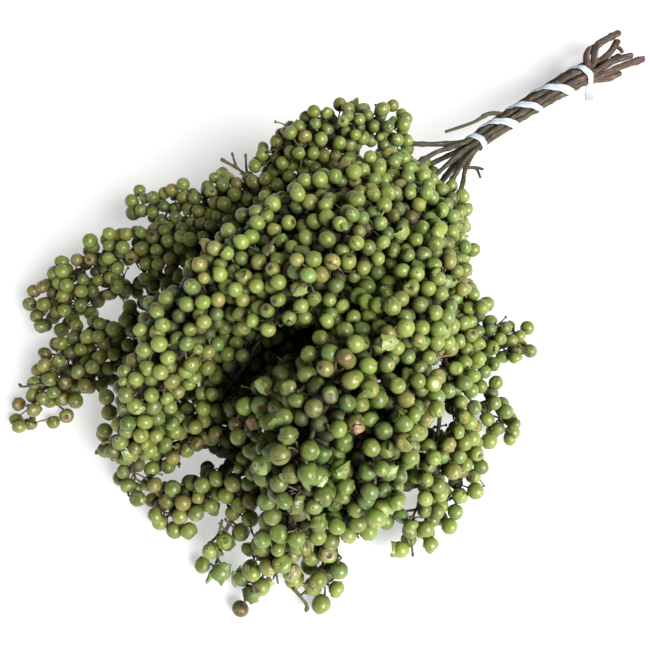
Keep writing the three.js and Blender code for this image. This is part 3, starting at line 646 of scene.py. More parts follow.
def berry_radius(n):
    r = np.clip(rng.normal(R_MEAN, R_SD, n), 2.5, 3.3)
    tiny = rng.random(n) < 0.004
    r[tiny] = rng.uniform(1.5, 2.2, tiny.sum())
    return r


R_MEAN, R_SD = 2.9, 0.15


def growth(P):
    """Berries are smallest on top of the bunch, larger low down and largest at the tips in front."""
    tips = np.exp(-((P[:, 0] + 127) / 38) ** 2 - ((P[:, 1] + 69) / 28) ** 2)
    return 1.0 + 0.08 * smooth(-70.0, -10.0, -P[:, 2]) + 0.18 * tips


grid = Grid(8.4)
# single berries that stand out at the edges of the bunch
LOOSE = [[19.5, 44.6, 60.0, 2.8, "top_arch"], [20.5, 39.9, 58.0, 2.7, "top_arch"], [15.2, 33.1, 57.0, 2.8, "top_arch"], [12.0, 31.3, 55.0, 2.8, "top_arch"],
         [-161.9, 63.7, 15.0, 3.0, "left_low"], [-167.4, 60.9, 12.0, 3.0, "left_low"], [-175.0, 40.1, 4.0, 2.7, "left_low"],
         [-161.2, 13.5, 22.0, 3.0, "centre_left"], [-143.9, -52.1, 15.0, 3.2, "tail_left"], [-157.7, -57.0, 6.0, 3.2, "tail_left"],
         [-155.0, -49.3, 9.0, 2.6, "tail_left"], [-149.3, -65.5, 14.0, 3.2, "front"], [-159.7, -72.0, 3.2, 2.8, "front"],
         [-138.0, -78.1, 10.0, 3.2, "front_right"], [-140.4, -70.3, 18.0, 3.3, "front"], [-89.1, -101.2, 8.0, 3.1, "right_low"],
         [-99.5, -95.6, 10.0, 3.1, "right_low"], [-78.1, -100.9, 7.0, 3.1, "right_mid"], [-30.0, -89.1, 8.0, 3.0, "right_fan"],
         [-28.9, -85.8, 12.0, 3.0, "right_fan"], [-29.0, -79.7, 18.0, 2.9, "right_fan"], [-32.0, -74.9, 24.0, 2.9, "right_fan"],
         [3.3, -62.6, 22.0, 2.9, "right_edge"], [-2.7, -66.1, 17.0, 2.9, "right_edge"], [-21.8, -65.6, 24.0, 3.0, "right_edge"],
         [-187.0, 51.2, 4.0, 2.9, "left_low"], [-182.2, 55.3, 7.0, 2.9, "left_low"], [-162.9, 38.6, 11.0, 3.0, "left_low"],
         [-169.6, 39.2, 4.0, 2.9, "left_low"], [-89.8, 100.4, 27.0, 3.0, ""], [-93.0, 96.0, 26.0, 3.1, ""], [-85.0, 102.6, 28.0, 2.9, ""],
         [-166.7, -1.6, 9.0, 3.1, ""], [-167.6, -6.5, 7.0, 3.2, ""], [-164.9, 2.6, 11.0, 3.0, ""], [-164.4, -8.8, 9.0, 3.1, ""],
         [-164.3, -26.5, 6.0, 3.1, ""], [-161.8, -31.8, 6.0, 3.2, ""], [-158.7, -36.1, 8.0, 3.1, ""], [-153.4, 21.0, 30.0, 3.0, ""],
         [-155.7, 17.3, 26.0, 3.1, ""], [-165.4, 10.4, 14.0, 3.0, ""], [-54.9, 70.5, 44.0, 3.0, ""], [-54.7, 63.7, 46.0, 3.0, ""],
         [-53.8, 76.3, 41.0, 2.8, ""], [-46.2, 60.9, 54.0, 3.0, ""], [-40.7, 62.4, 56.0, 3.0, ""], [-50.4, 57.2, 50.0, 3.1, ""],
         [-118.6, -88.9, 8.0, 3.2, ""], [-122.8, -92.5, 6.0, 3.2, ""], [-135.5, -90.7, 4.0, 3.1, ""], [-134.2, -85.0, 5.0, 3.2, ""],
         [0.9, -27.5, 44.0, 3.0, ""], [-63.5, -98.4, 16.0, 3.1, ""], [-67.7, -95.6, 13.0, 3.1, ""], [-43.2, -87.0, 14.0, 3.1, ""],
         [-175.4, 54.0, 9.0, 3.0, ""], [-178.3, 49.0, 6.0, 3.0, ""], [4.9, -61.0, 21.0, 2.9, ""], [-162.1, 15.1, 17.0, 3.0, ""],
         [-127.6, -90.0, 6.0, 2.9, ""], [-119.1, -87.6, 10.0, 2.9, ""], [-122.6, -89.5, 8.0, 2.9, ""], [-116.5, -86.2, 14.0, 2.9, ""],
         [-2.6, -57.0, 22.0, 2.8, ""], [-7.5, -57.6, 24.0, 2.8, ""], [-153.4, 93.4, 12.0, 2.9, ""], [-149.2, 95.9, 14.0, 2.9, ""],
         [-155.7, 79.6, 12.0, 2.9, ""], [-132.1, 95.8, 22.0, 2.9, ""], [-128.3, 95.1, 24.0, 2.9, ""], [-168.9, -5.3, 8.0, 2.9, ""],
         [-167.1, -9.0, 8.0, 3.0, ""], [-149.8, -12.5, 16.0, 2.9, ""], [-146.1, -13.3, 18.0, 2.9, ""], [-141.0, -15.1, 24.0, 2.9, ""],
         [-137.0, -17.2, 28.0, 2.9, ""], [-107.1, -83.6, 30.0, 2.9, ""], [-104.3, -85.7, 28.0, 2.9, ""], [-46.5, -83.6, 16.0, 2.9, ""],
         [-58.0, -93.1, 12.0, 2.9, ""], [-164.8, -25.6, 10.0, 2.9, ""], [-162.3, -31.1, 8.0, 2.9, ""], [-159.3, -12.4, 12.0, 2.9, ""],
         [-173.5, 37.1, 5.0, 2.9, ""], [-173.7, 41.6, 8.0, 2.9, ""],
         [-147.6, -22.6, 14.0, 2.9, ""], [-143.5, -24.2, 16.0, 2.9, ""], [-153.0, -21.5, 12.0, 2.9, ""], [-139.7, -26.2, 18.0, 2.9, ""], [-157.1, -19.9, 10.0, 2.9, ""], [-130.1, -73.9, 26.0, 2.9, ""], [-152.7, -64.7, 8.0, 2.9, ""], [-148.2, -64.7, 10.0, 2.9, ""],
         [-97.3, -84.8, 14.0, 2.9, ""], [-96.8, -88.6, 11.0, 2.9, ""], [-92.9, -87.1, 17.0, 2.9, ""], [-89.0, -85.7, 22.0, 2.9, ""], [-118.1, -88.4, 5.0, 3.1, ""], [-95.1, -88.9, 12.0, 2.8, ""]]
for x, y, z, r, name in LOOSE:
    at = np.array([x, y, z]) + SHIFT
    r = float(r * growth(at[None])[0])
    at[2] = max(at[2], r + 0.1)
    grid.offer(tuple(at), r, 0.8, (0, NAMES.index(name) if name else int(BALL_OF[depth_of(at[None])[1][0]])))

# round the branchlets, berries on short pedicels, some on long ones
count = 190000
k = rng.choice(len(NODES), count)
r = berry_radius(count)
r = r * growth(NODES[k])
u = unit(rng.normal(size=(count, 3)) + 0.75 * NODE_DIR[k])
long_one = rng.random(count) < 0.05
stalk = np.where(long_one, rng.uniform(6, 10, count), rng.uniform(1.6, 5.6, count))
P = NODES[k] + u * (stalk + r)[:, None]
P[:, 2] = np.maximum(P[:, 2], r + 0.1)
d, _ = depth_of(P)
edge = d + r + 0.7 + 1.5 * unevenness(P)
slack = np.where(long_one, 3.2, 0.4 + 2.4 * rng.random(count) ** 3)
ok = np.flatnonzero((edge < slack) & (d > -15))
for i in ok:
    grid.offer(tuple(P[i]), float(r[i]), 0.89, (0, int(NODE_OF[k[i]])))
n_outer = len(grid.P)
# berries deeper in the mass
count = 90000
k = rng.choice(len(BALL), count, p=BALL[:, 3] ** 2 / (BALL[:, 3] ** 2).sum())
r = berry_radius(count) * growth(BALL[k, :3])
P = BALL[k, :3] + unit(rng.normal(size=(count, 3))) * (BALL[k, 3] * rng.random(count) ** 0.4)[:, None]
P[:, 2] = np.maximum(P[:, 2], r + 0.1)
d, _ = depth_of(P)
for i in np.flatnonzero((d < -r - 4.5) & (d > -r - 34)):
    grid.offer(tuple(P[i]), float(r[i]), 0.96, (1, int(BALL_OF[k[i]])))
# berries far inside, behind the gaps, painted nearly black as painted shade further down: a line and a reach each
FILL = [((-71.1, 8.5, 4), (-82.1, -7.2, 38), 11), ((-77.8, 7.4, 4), (-88.0, -8.2, 38), 11), ((-85.2, 8.9, 4), (-94.6, -6.8, 38), 11), ((-94.5, 6.3, 4), (-103.0, -9.2, 38), 11), ((-94.1, -0.5, 4), (-102.6, -15.2, 38), 11), ((-66.0, 7.6, 4), (-77.5, -8.0, 38), 11), ((-79.0, 13.1, 4), (-89.1, -3.1, 38), 11), ((-101.6, 1.3, 4), (-109.3, -13.6, 38), 11),
        ((-121.7, -15.4, 4), (-124.9, -23.1, 24), 8), ((-125.2, -15.9, 4), (-128.2, -23.6, 24), 8), ((-117.5, -14.1, 4), (-121.1, -21.9, 24), 8), ((-128.1, -17.0, 4), (-130.9, -24.6, 24), 8),
        ((-82.1, -50.1, 6), (-93.7, -61.3, 46), 8), ((-81.3, -54.9, 6), (-91.2, -63.9, 40), 7), ((-104.6, -69.2, 6), (-109.9, -74.4, 30), 6), ((-74.6, -51.2, 6), (-85.3, -60.5, 40), 6)]
for a, b, reach in FILL:
    a, b = np.array(a) + SHIFT, np.array(b) + SHIFT
    owner = int(BALL_OF[depth_of((a + b)[None] / 2)[1][0]])
    for q in a + (b - a) * rng.random((700, 1)) + rng.uniform(-1, 1, (700, 3)) * reach:
        r = float(rng.uniform(2.75, 3.1))
        grid.offer((float(q[0]), float(q[1]), max(float(q[2]), r + 0.1)), r, 0.93, (2, owner))
P = np.array(grid.P)
R = np.array(grid.r)
LAYER = np.array([t[0] for t in grid.tag])
OWNER = np.array([t[1] for t in grid.tag])


def near_pairs(P, reach):
    kd = KDTree(len(P))
    for i, p in enumerate(P):
        kd.insert(p, i)
    kd.balance()
    a, b = [], []
    for i, p in enumerate(P):
        for _, j, _ in kd.find_range(p, reach):
            if j > i:
                a.append(i)
                b.append(j)
    return np.array(a), np.array(b)


def relax(P, R, rounds, fit=0.985):
    """Pushes overlapping berries apart, above the table."""
    P = P.copy()
    a, b = near_pairs(P, 8.6)
    for step in range(rounds):
        v = P[b] - P[a]
        d = np.linalg.norm(v, axis=1)
        over = np.maximum(fit * (R[a] + R[b]) - d, 0)
        push = v / np.maximum(d, 1e-6)[:, None] * (over * 0.4)[:, None]
        np.add.at(P, b, push)
        np.add.at(P, a, -push)
        P[:, 2] = np.maximum(P[:, 2], R + 0.1)
    return P


BIG = [((-115.4, -87.0, 96), (-98.4, -72.1, 30), 3.9), ((-97.3, -71.6, 96), (-75.0, -52.2, 30), 3.6), ((-119.7, -78.6, 96), (-104.0, -61.2, 30), 3.5), ((-122.3, -47.6, 96), (-107.4, -21.1, 30), 3.5), ((-107.3, -48.1, 96), (-88.0, -21.8, 30), 3.5), ((-148.5, -25.2, 96), (-141.2, 7.9, 30), 3.5), ((-135.2, -61.2, 96), (-123.9, -38.7, 30), 3.5)]
for a, b, r in BIG:                                   # a few much larger ones on the near side
    a, b = np.array(a) + SHIFT, np.array(b) + SHIFT
    go = unit(b - a)
    along = (P - a) @ go
    miss = np.linalg.norm(P - a - along[:, None] * go, axis=1)
    hit = np.flatnonzero((miss < R * 0.8) & (along > 0))
    if len(hit):
        R[hit[along[hit].argmin()]] = r
P = relax(P, R, 26)

# Gaps between the sprays where the table or the dark inside shows: a line and a clear radius each.
VOIDS = [((-125.5, 74.6, 0), (-132.3, 44.9, 45), 4.9), ((-105.6, 87.3, 0), (-116.2, 52.2, 50), 2.8),
         ((-152.6, -9.6, 0), (-154.3, -20.0, 26), 1.6), ((-145.1, -11.1, 0), (-147.5, -22.2, 28), 2.8), ((-138.5, -12.0, 0), (-141.8, -23.8, 30), 3.4),
         ((-132.8, -13.3, 0), (-136.8, -25.8, 32), 3.8), ((-130.0, -17.4, 0), (-134.3, -29.4, 32), 2.4),
         ((-45.8, -63.6, 0), (-63.7, -74, 45), 4.5), ((-30.2, -41, 0), (-57, -59.2, 60), 3.5),
         ((-81.3, -81.4, 0), (-89.9, -86.7, 30), 3.5), ((-108.8, -84, 0), (-114.8, -89.1, 30), 5),
         ((-110.7, -88.6, 0), (-115.6, -92.4, 25), 5), ((-112.2, -12.3, 46), (-115.8, -19.6, 62), 6.0),
         ((-97.2, -9.6, 50), (-101.7, -17.1, 66), 6.5), ((-89.2, -13.9, 53), (-94.5, -21.8, 70), 6.5),
         ((-82, -21.5, 56), (-87.5, -28.5, 72), 5.5), ((-110.2, -39.7, 44), (-116.6, -49.6, 72), 4.0),
         ((-108.5, -45.2, 44), (-115.1, -54.6, 72), 4.0), ((-80.6, -18.4, 50), (-90.8, -31.6, 80), 3.6), ((-98.5, -10.6, 44), (-106.6, -24.4, 74), 5.0), ((-32.6, -67.8, 4), (-44.1, -73.6, 30), 1.8), ((-32.1, -62.6, 6), (-44.6, -69.3, 34), 1.2), ((-32.0, -71.4, 4), (-41.8, -76.0, 26), 1.2),
         ((-112.7, -19.8, 41), (-116, -26.1, 56), 6.0),
         ((-144.7, -40.2, 0), (-146.9, -47.8, 25), 2.6), ((-150.4, -52.7, 0), (-152.0, -58.5, 22), 2.8), ((-149.6, -38.7, 0), (-151.3, -45.5, 22), 2),
         ((5.3, -29.7, 20), (-15.4, -42.3, 55), 1.4), ((3.2, -36.2, 20), (-17.3, -48.1, 55), 1.4), ((0.5, -45.0, 15), (-16.5, -54.1, 45), 1.4),
         ((16.8, 81.8, 40), (-8.9, 52.1, 78), 1), ((24.6, 76.1, 40), (-2.1, 47.2, 78), 1), ((-3.2, 85.6, 40), (-24.3, 57.8, 75), 1), ((-9.7, 85.1, 40), (-30.0, 57.4, 75), 1)]


def in_gap(Q, less=0.5):
    """Points that lie in one of the gaps."""
    found = np.zeros(len(Q), bool)
    for a, b, rad in VOIDS:
        a, b = np.array(a) + SHIFT, np.array(b) + SHIFT
        f = np.clip((Q - a) @ (b - a) / ((b - a) @ (b - a)), 0, 1)
        found |= np.linalg.norm(Q - (a + f[:, None] * (b - a)), axis=1) < rad - less
    return found


clear = np.ones(len(P), bool)
for a, b, rad in VOIDS:
    a, b = np.array(a) + SHIFT, np.array(b) + SHIFT
    f = np.clip((P - a) @ (b - a) / ((b - a) @ (b - a)), 0, 1)
    clear &= (np.linalg.norm(P - (a + f[:, None] * (b - a)), axis=1) > rad + 0.6 * R) | (LAYER == 2)
# the open wedge on the left goes through to the table
for a, b, rad in [((-133.3, -11.2, 0), (-138.5, -27.8, 42), 1.6), ((-132.3, -14.9, 0), (-137.4, -30.2, 40), 2.4), ((-131.0, -18.9, 0), (-136.1, -32.9, 38), 1.6)]:
    a, b = np.array(a) + SHIFT, np.array(b) + SHIFT
    f = np.clip((P - a) @ (b - a) / ((b - a) @ (b - a)), 0, 1)
    clear &= np.linalg.norm(P - (a + f[:, None] * (b - a)), axis=1) > rad + 0.6 * R
P, R, LAYER, OWNER = P[clear], R[clear], LAYER[clear], OWNER[clear]


def seen(P, R, project, cell):
    """Share of each berry's disc that is seen along one view."""
    a = np.linspace(-0.92, 0.92, 11)
    gx, gy = np.meshgrid(a, a)
    inside = gx ** 2 + gy ** 2 < 0.9
    gx, gy = gx[inside], gy[inside]
    bulge = np.sqrt(1 - gx ** 2 - gy ** 2)
    uv, z, rr, rz = project(P, R)
    U = np.round((uv[:, 0:1] + gx[None] * rr[:, None]) / cell).astype(int)
    V = np.round((uv[:, 1:2] + gy[None] * rr[:, None]) / cell).astype(int)
    Z = z[:, None] - bulge[None] * rz[:, None]
    U -= U.min()
    V -= V.min()
    key = (U * (V.max() + 1) + V)
    buf = np.full(key.max() + 1, np.inf)
    np.minimum.at(buf, key.ravel(), Z.ravel())
    return (Z <= buf[key] + 0.35).mean(1)


def flat_view(direction):
    f = unit(direction)
    s = unit(np.cross(f, [0.0, 0.0, 1.0] if abs(f[2]) < 0.95 else [1.0, 0.0, 0.0]))
    t = np.cross(s, f)
    return lambda P, R: (np.stack([P @ s, P @ t], 1), P @ f, R, R)


def photo_view(P, R):
    q = P - CAM_AT
    z = q @ CAM_FWD
    return np.stack([FOCAL_PX * (q @ CAM_RIGHT) / z, FOCAL_PX * (q @ CAM_UP) / z], 1), z, R * FOCAL_PX / z, R


front_seen = seen(P, R, photo_view, 1.0)
side_seen = np.zeros(len(P))
for el in (-75, -35, -5, 20, 48, 80):
    for az in np.arange(0, 360, 45 if abs(el) < 70 else 120):
        e, a = math.radians(el), math.radians(az + el)
        d = -np.array([math.cos(e) * math.cos(a), math.cos(e) * math.sin(a), math.sin(e)])
        side_seen = np.maximum(side_seen, seen(P, R, flat_view(d), 0.6))
keep = (front_seen > 0.01) | (side_seen > 0.07)
P, R, LAYER, OWNER, front_seen, side_seen = (x[keep] for x in (P, R, LAYER, OWNER, front_seen, side_seen))
NB = len(P)


def painted_depth_shade(P, R=0.0):
    """Painted shade: how much darker the inside of the bunch is painted than its outer skins, by how deep a point lies
    below the berry mass.
    """
    return 1 - 0.9 * smooth(1.0, 9.0, -depth_of(P)[0] - R)


DEPTH, ball = depth_of(P)
DEPTH, AWAY = -DEPTH, unit(P - BALL[ball, :3])

# ---- twigs: a rachis in every spray, branchlets, and a pedicel to every berry --------------
OLIVE, BROWN, MAUVE = lin(92, 86, 64), lin(90, 76, 60), lin(108, 82, 76)
TAN, RUST = lin(122, 110, 66), lin(86, 68, 44)
ATTACH = np.zeros((NB, 3))
strands = {k: Strands() for k in NAMES}
for i, name in enumerate(NAMES):
    line, thick, paths, rads = BRANCHES[name]
    # painted shade: the rachis of the four inner sprays is painted much darker than the others
    strands[name].add(line[None], thick[None], 7, (OLIVE * 0.55 + BROWN * 0.45) * (0.16 if name in ("mid_low", "mid_left", "mid_core", "front_gap") else 0.5))
    near = (painted_depth_shade(paths[:, 3]) > 0.3) & ~in_gap(paths[:, 3]) & ~in_gap(paths[:, 2]) & ~in_gap(paths[:, 1])
    paths, rads = paths[near], rads[near]
    if len(paths):
        tone = rng.uniform(0, 1, (len(paths), 1))
        # branchlet colour carries painted shade: darker the deeper the branchlet lies in the bunch
        strands[name].add(paths, rads, 5, (TAN * 0.8 * tone + RUST * (1 - tone)) * rng.uniform(0.8, 1.15, (len(paths), 1)) * painted_depth_shade(paths[:, 3])[:, None])
    mine = np.flatnonzero(OWNER == i)
    nodes = NODES[NODE_OF == i]
    if len(mine):
        d = np.linalg.norm(P[mine][:, None] - nodes[None], axis=2)
        d = d + np.maximum(R[mine][:, None] + 1.2 - d, 0) * 20    # not from inside the berry
        away = unit(P[mine] - BALL[depth_of(P[mine])[1], :3])      # and seldom from its outer side
        d = d + 9 * np.maximum(0.1 - np.einsum("nmk,nk->nm", unit(P[mine][:, None] - nodes[None]), away), 0)
        ATTACH[mine] = nodes[d.argmin(1)]

far = np.flatnonzero(np.linalg.norm(P - ATTACH, axis=1) - R > 11)      # those hang on a neighbour instead
kd = KDTree(NB)
for i, p in enumerate(P):
    kd.insert(p, i)
kd.balance()
for i in far:
    near = [j for _, j, _ in kd.find_n(P[i], 4) if j != i]
    if near:
        ATTACH[i] = P[near[0]]
TIP = unit(unit(P - ATTACH) + 0.33 * rng.normal(size=(NB, 3)))
BASE = P - TIP * (R * 0.95)[:, None]
for i, name in enumerate(NAMES):
    mine = np.flatnonzero((OWNER == i) & ((front_seen > 0.02) | (side_seen > 0.2)))
    if not len(mine):
        continue
    a, b, t = ATTACH[mine], BASE[mine], TIP[mine]
    gap = np.linalg.norm(b - a, axis=1, keepdims=True)
    across = in_gap((a + b) / 2, -0.5) | in_gap((3 * a + b) / 4, -0.5) | in_gap((a + 3 * b) / 4, -0.5)
    ok = (gap[:, 0] < 4) | ~across                                 # no bare line across a gap
    mine, a, b, t, gap = mine[ok], a[ok], b[ok], t[ok], gap[ok]
    if not len(mine):
        continue
    ctrl = b - t * gap * 0.45
    u = np.array([0.0, 0.4, 0.8, 1.0])[None, :, None]
    path = (1 - u) ** 2 * a[:, None] + 2 * u * (1 - u) * ctrl[:, None] + u ** 2 * b[:, None]
    w = rng.uniform(0.85, 1.15, (len(mine), 1))
    rad = np.array([[0.38, 0.33, 0.42, 0.62]]) * w
    tone = rng.uniform(0, 1, (len(mine), 1))
    # pedicel colour carries painted shade: darker the deeper its berry end lies in the bunch
    strands[name].add(path, rad, 4, (TAN * tone + RUST * (1 - tone)) * rng.uniform(0.75, 1.2, (len(mine), 1)) * painted_depth_shade(b)[:, None])

# Sprays that start inside the bunch hang on the nearest spray nearer the neck.
for i, name in enumerate(NAMES):
    start = SPINE[name][0, :3]
    ok = (BALL_OF != i) & (BALL[:, 0] > start[0] + 6)
    if start[0] > 0 or not ok.any():
        continue
    d = np.linalg.norm(BALL[:, :3] - start, axis=1)
    d[~ok] = 1e9
    root = BALL[d.argmin(), :3]
    t0 = unit(SPINE[name][2, :3] - SPINE[name][0, :3])
    u = np.linspace(0, 1, 8)[:, None]
    ctrl = start - t0 * np.linalg.norm(start - root) * 0.5
    path = (1 - u) ** 2 * root + 2 * u * (1 - u) * ctrl + u ** 2 * start
    strands[name].add(path[None], np.linspace(1.2, 1.05, 8)[None], 7, BROWN)


# Bare twigs that show at the edges and between the sprays: spray, radius and line.
BARE = [("right_fan", 0.62, [[-39.3, -62, 30], [-40.7, -68.8, 26], [-38.3, -77.1, 19], [-36.4, -84.1, 13], [-32.6, -87.1, 9.5]]),
        ("right_fan", 0.45, [[-40, -66, 28], [-36, -68.7, 26], [-33.5, -72.2, 24.5]]),
        ("right_fan", 0.45, [[-39.3, -74, 22], [-34.8, -74.9, 21], [-30.7, -78.3, 19]]),
        ("right_fan", 0.45, [[-36.4, -84.1, 13], [-33.6, -82.7, 12.5], [-30.5, -83.9, 12]]),
        ("left_low", 0.6, [[-169.1, 51.7, 14], [-172.7, 53.5, 16], [-177, 56.7, 15], [-177.3, 58.6, 15]]),
        ("upper_left", 0.75, [[-45.8, 62.1, 42], [-48.6, 64.5, 46], [-50.6, 68.8, 49], [-52.4, 72.9, 50], [-53.8, 76, 51]]),
        ("upper_left", 0.55, [[-50.6, 68.8, 49], [-49.7, 71.8, 51], [-48.3, 75.1, 52]]),
        ("upper_left", 0.55, [[-48.6, 64.5, 46], [-46.6, 67.3, 50], [-44.5, 70, 53]]),
        ("front_right", 0.5, [[-103.7, -78.2, 20], [-104.3, -80.4, 14], [-106.1, -82.1, 10]]),
        ("right_low", 0.5, [[-95.7, -96.4, 16], [-96.2, -98.2, 11], [-97.1, -100.2, 7]]),
        ("tail_left", 0.6, [[-146.6, -45.2, 20], [-150.8, -47.3, 15], [-156, -46.6, 11]]),
        ("tail_left", 0.5, [[-148.2, -45.4, 20], [-147.8, -49.2, 16], [-149.5, -50.6, 14]]),
        ("tail_left", 0.5, [[-145.7, -46.2, 22], [-144.8, -49.4, 18], [-144.1, -51.5, 16.5]]),
        ("tail_left", 0.5, [[-139.1, -53.7, 26], [-140.8, -56.4, 21], [-140.7, -58.4, 18]]),
        ("front_right", 0.8, [[-140.8, -80.6, 12], [-140.2, -83.9, 8], [-140.2, -87.9, 5], [-141.5, -88.8, 3.5]]),
        ("front_right", 0.5, [[-140.2, -83.9, 8], [-138, -84.1, 9], [-138, -84.7, 8]]),
        ("left_low", 0.75, [[-128.6, 48.5, 24], [-141.4, 50.8, 18], [-154.4, 52.4, 13]]),
        ("left_low", 0.7, [[-120, 40.9, 28], [-130.4, 48.1, 24], [-137.2, 58.1, 20]]),
        ("front", 0.42, [[-87, -56.5, 78], [-88.4, -55.9, 82], [-88, -57.2, 85], [-87.8, -59.9, 86], [-88.9, -62.2, 85], [-90.4, -62, 83]]),
        ("centre_left", 0.8, [[-85.9, -1.9, 92], [-82.1, 0.9, 91], [-77.1, 4.1, 88]])]
for name, thick, pts in BARE:
    S = curve_points(np.array(pts) + SHIFT, 1.1)
    rad = np.linspace(thick, thick * 0.78, len(S)) * (1 + 0.1 * rng.normal(size=len(S)))
    rad[-2] = thick * 1.25
    strands[name].add(S[None], rad[None], 7, (BROWN * 0.6 + TAN * 0.25) * rng.uniform(0.8, 1.1))

stubs = 0
for q in rng.permutation(len(NODES)):
    at = NODES[q]
    dep, ball = depth_of(at[None])
    if not 0.5 < -dep[0] < 6.5 or any(np.linalg.norm(at[:2] - (np.array(a) + np.array(b))[:2] / 2) < 20 for a, b, _ in FILL[:8]):
        continue
    go = unit(unit(at - BALL[ball[0], :3]) + 0.5 * rng.normal(size=3))
    reach = rng.uniform(4.5, 8.0)
    bend = unit(np.cross(go, rng.normal(size=3))) * reach * rng.uniform(0.05, 0.3)
    f = np.array([0, 0.35, 0.68, 0.86, 0.95, 1.0])[:, None]
    S = at + go * f * reach + bend * f ** 2
    if S[:, 2].min() < 1.2 or any(kd.find(x)[2] < R[kd.find(x)[1]] * 1.06 for x in S[2:]):
        continue
    tone = rng.random()
    strands[NAMES[NODE_OF[q]]].add(S[None], np.array([[0.4, 0.34, 0.32, 0.36, 0.78, 0.4]]) * rng.uniform(0.8, 1.05), 7,
                                   lin(134, 100, 76) * tone + TAN * (1 - tone))
    stubs += 1
    if stubs == 110:
        break


# ---- berry meshes ----------------------------------------------------------------------------
def ball_template(lon, lat):
    th = np.arange(1, lat) / lat * np.pi
    ph = np.arange(lon) / lon * 2 * np.pi
    T, F = np.meshgrid(th, ph, indexing="ij")
    body = np.stack([np.sin(T) * np.cos(F), np.sin(T) * np.sin(F), np.cos(T)], -1).reshape(-1, 3)
    V = np.vstack([[0, 0, 1], body, [0, 0, -1]])
    i, j = np.meshgrid(np.arange(lat - 2), np.arange(lon), indexing="ij")
    j2 = (j + 1) % lon
    quads = np.stack([1 + i * lon + j, 1 + (i + 1) * lon + j, 1 + (i + 1) * lon + j2, 1 + i * lon + j2], -1).reshape(-1, 4)
    k = np.arange(lon)
    k2 = (k + 1) % lon
    last = 1 + (lat - 2) * lon
    top = np.stack([np.zeros(lon, int), 1 + k, 1 + k2], -1)
    bot = np.stack([np.full(lon, len(V) - 1), last + k2, last + k], -1)
    uq = np.stack([j, j, j + 1, j + 1], -1).reshape(-1, 4) / lon
    vq = np.stack([i + 1, i + 2, i + 2, i + 1], -1).reshape(-1, 4) / lat
    ut = np.concatenate([np.stack([k + 0.5, k + 0.0, k + 1.0], -1), np.stack([k + 0.5, k + 1.0, k + 0.0], -1)]) / lon
    vt = np.concatenate([np.tile([0.0, 1 / lat, 1 / lat], (lon, 1)), np.tile([1.0, (lat - 1) / lat, (lat - 1) / lat], (lon, 1))])
    return V, quads, np.concatenate([top, bot]), np.stack([uq, 1 - vq], -1), np.stack([ut, 1 - vt], -1)


TEMPLATES = [ball_template(14, 9), ball_template(11, 7), ball_template(8, 6)]
LOD = np.where(front_seen > 0.4, 0, np.where((side_seen > 0.42) | (front_seen > 0.1), 1, 2))

# per-berry character
kind = rng.choice(4, NB, p=[0.62, 0.2, 0.15, 0.03])
PALETTE = np.array([lin(120, 134, 62), lin(98, 119, 61), lin(128, 125, 66), lin(96, 77, 47)])
COL = PALETTE[kind] * np.array([0.975, 1.015, 0.99]) * rng.lognormal(0, 0.15, (NB, 1)) * rng.lognormal(0, 0.035, (NB, 3))
BACK = smooth(15.0, 75.0, P[:, 1])[:, None]                    # browner, duller berries at the back and left
FRONT = np.exp(-((P[:, 0] + 122) / 36) ** 2 - ((P[:, 1] + 64) / 24) ** 2)      # greener, rougher ones in front; high up also darker, partly as painted shade
# painted shade: berries at the far left, on the top arch and around the left tail are painted darker where the lamp
# reaches them less, at the far left with a slightly browner tint
LEFT = (smooth(120.0, 160.0, -P[:, 0]) * smooth(-45.0, -15.0, P[:, 1]))[:, None]
TOP = np.exp(-((P[:, 0] + 12) / 26) ** 2 - ((P[:, 1] - 54) / 20) ** 2)[:, None]
TAIL = np.exp(-((P[:, 0] + 155) / 20) ** 2 - ((P[:, 1] + 29) / 16) ** 2)[:, None]
COL *= (1 - BACK * np.array([0.02, 0.09, 0.05])) * (1 - LEFT * np.array([0.28, 0.34, 0.33])) * (1 - TOP * 0.36) * (1 - TAIL * np.array([0.17, 0.2, 0.17]))
# darker and greener berries high on the front sprays: partly greener skins, partly painted shade between the large
# front berries
COL *= 1 - (FRONT * smooth(12.0, 50.0, P[:, 2]))[:, None] * np.array([0.5, 0.4, 0.46])
BLOTCH = np.clip(rng.beta(0.65, 2.5, NB) + (kind == 2) * 0.25 + (kind == 3) * 0.5, 0, 1)
CRACK = np.where(rng.random(NB) < 0.2 + 0.25 * FRONT, rng.uniform(0.5, 1.0, NB), 0.0)
BURST = rng.random(NB) < 0.05 + 0.06 * FRONT                                         # opened at the tip, brown inside
CRATER = np.where(BURST, 1.1, np.where(rng.random(NB) < 0.11, rng.uniform(0.5, 1.0, NB), 0.0))     # skins that have caved in
WRINKLE = np.where(rng.random(NB) < 0.035 + 0.14 * FRONT, rng.uniform(0.03, 0.075, NB), 0.0)    # shrivelled ones
DENT = rng.random(NB)
tri_total = 0


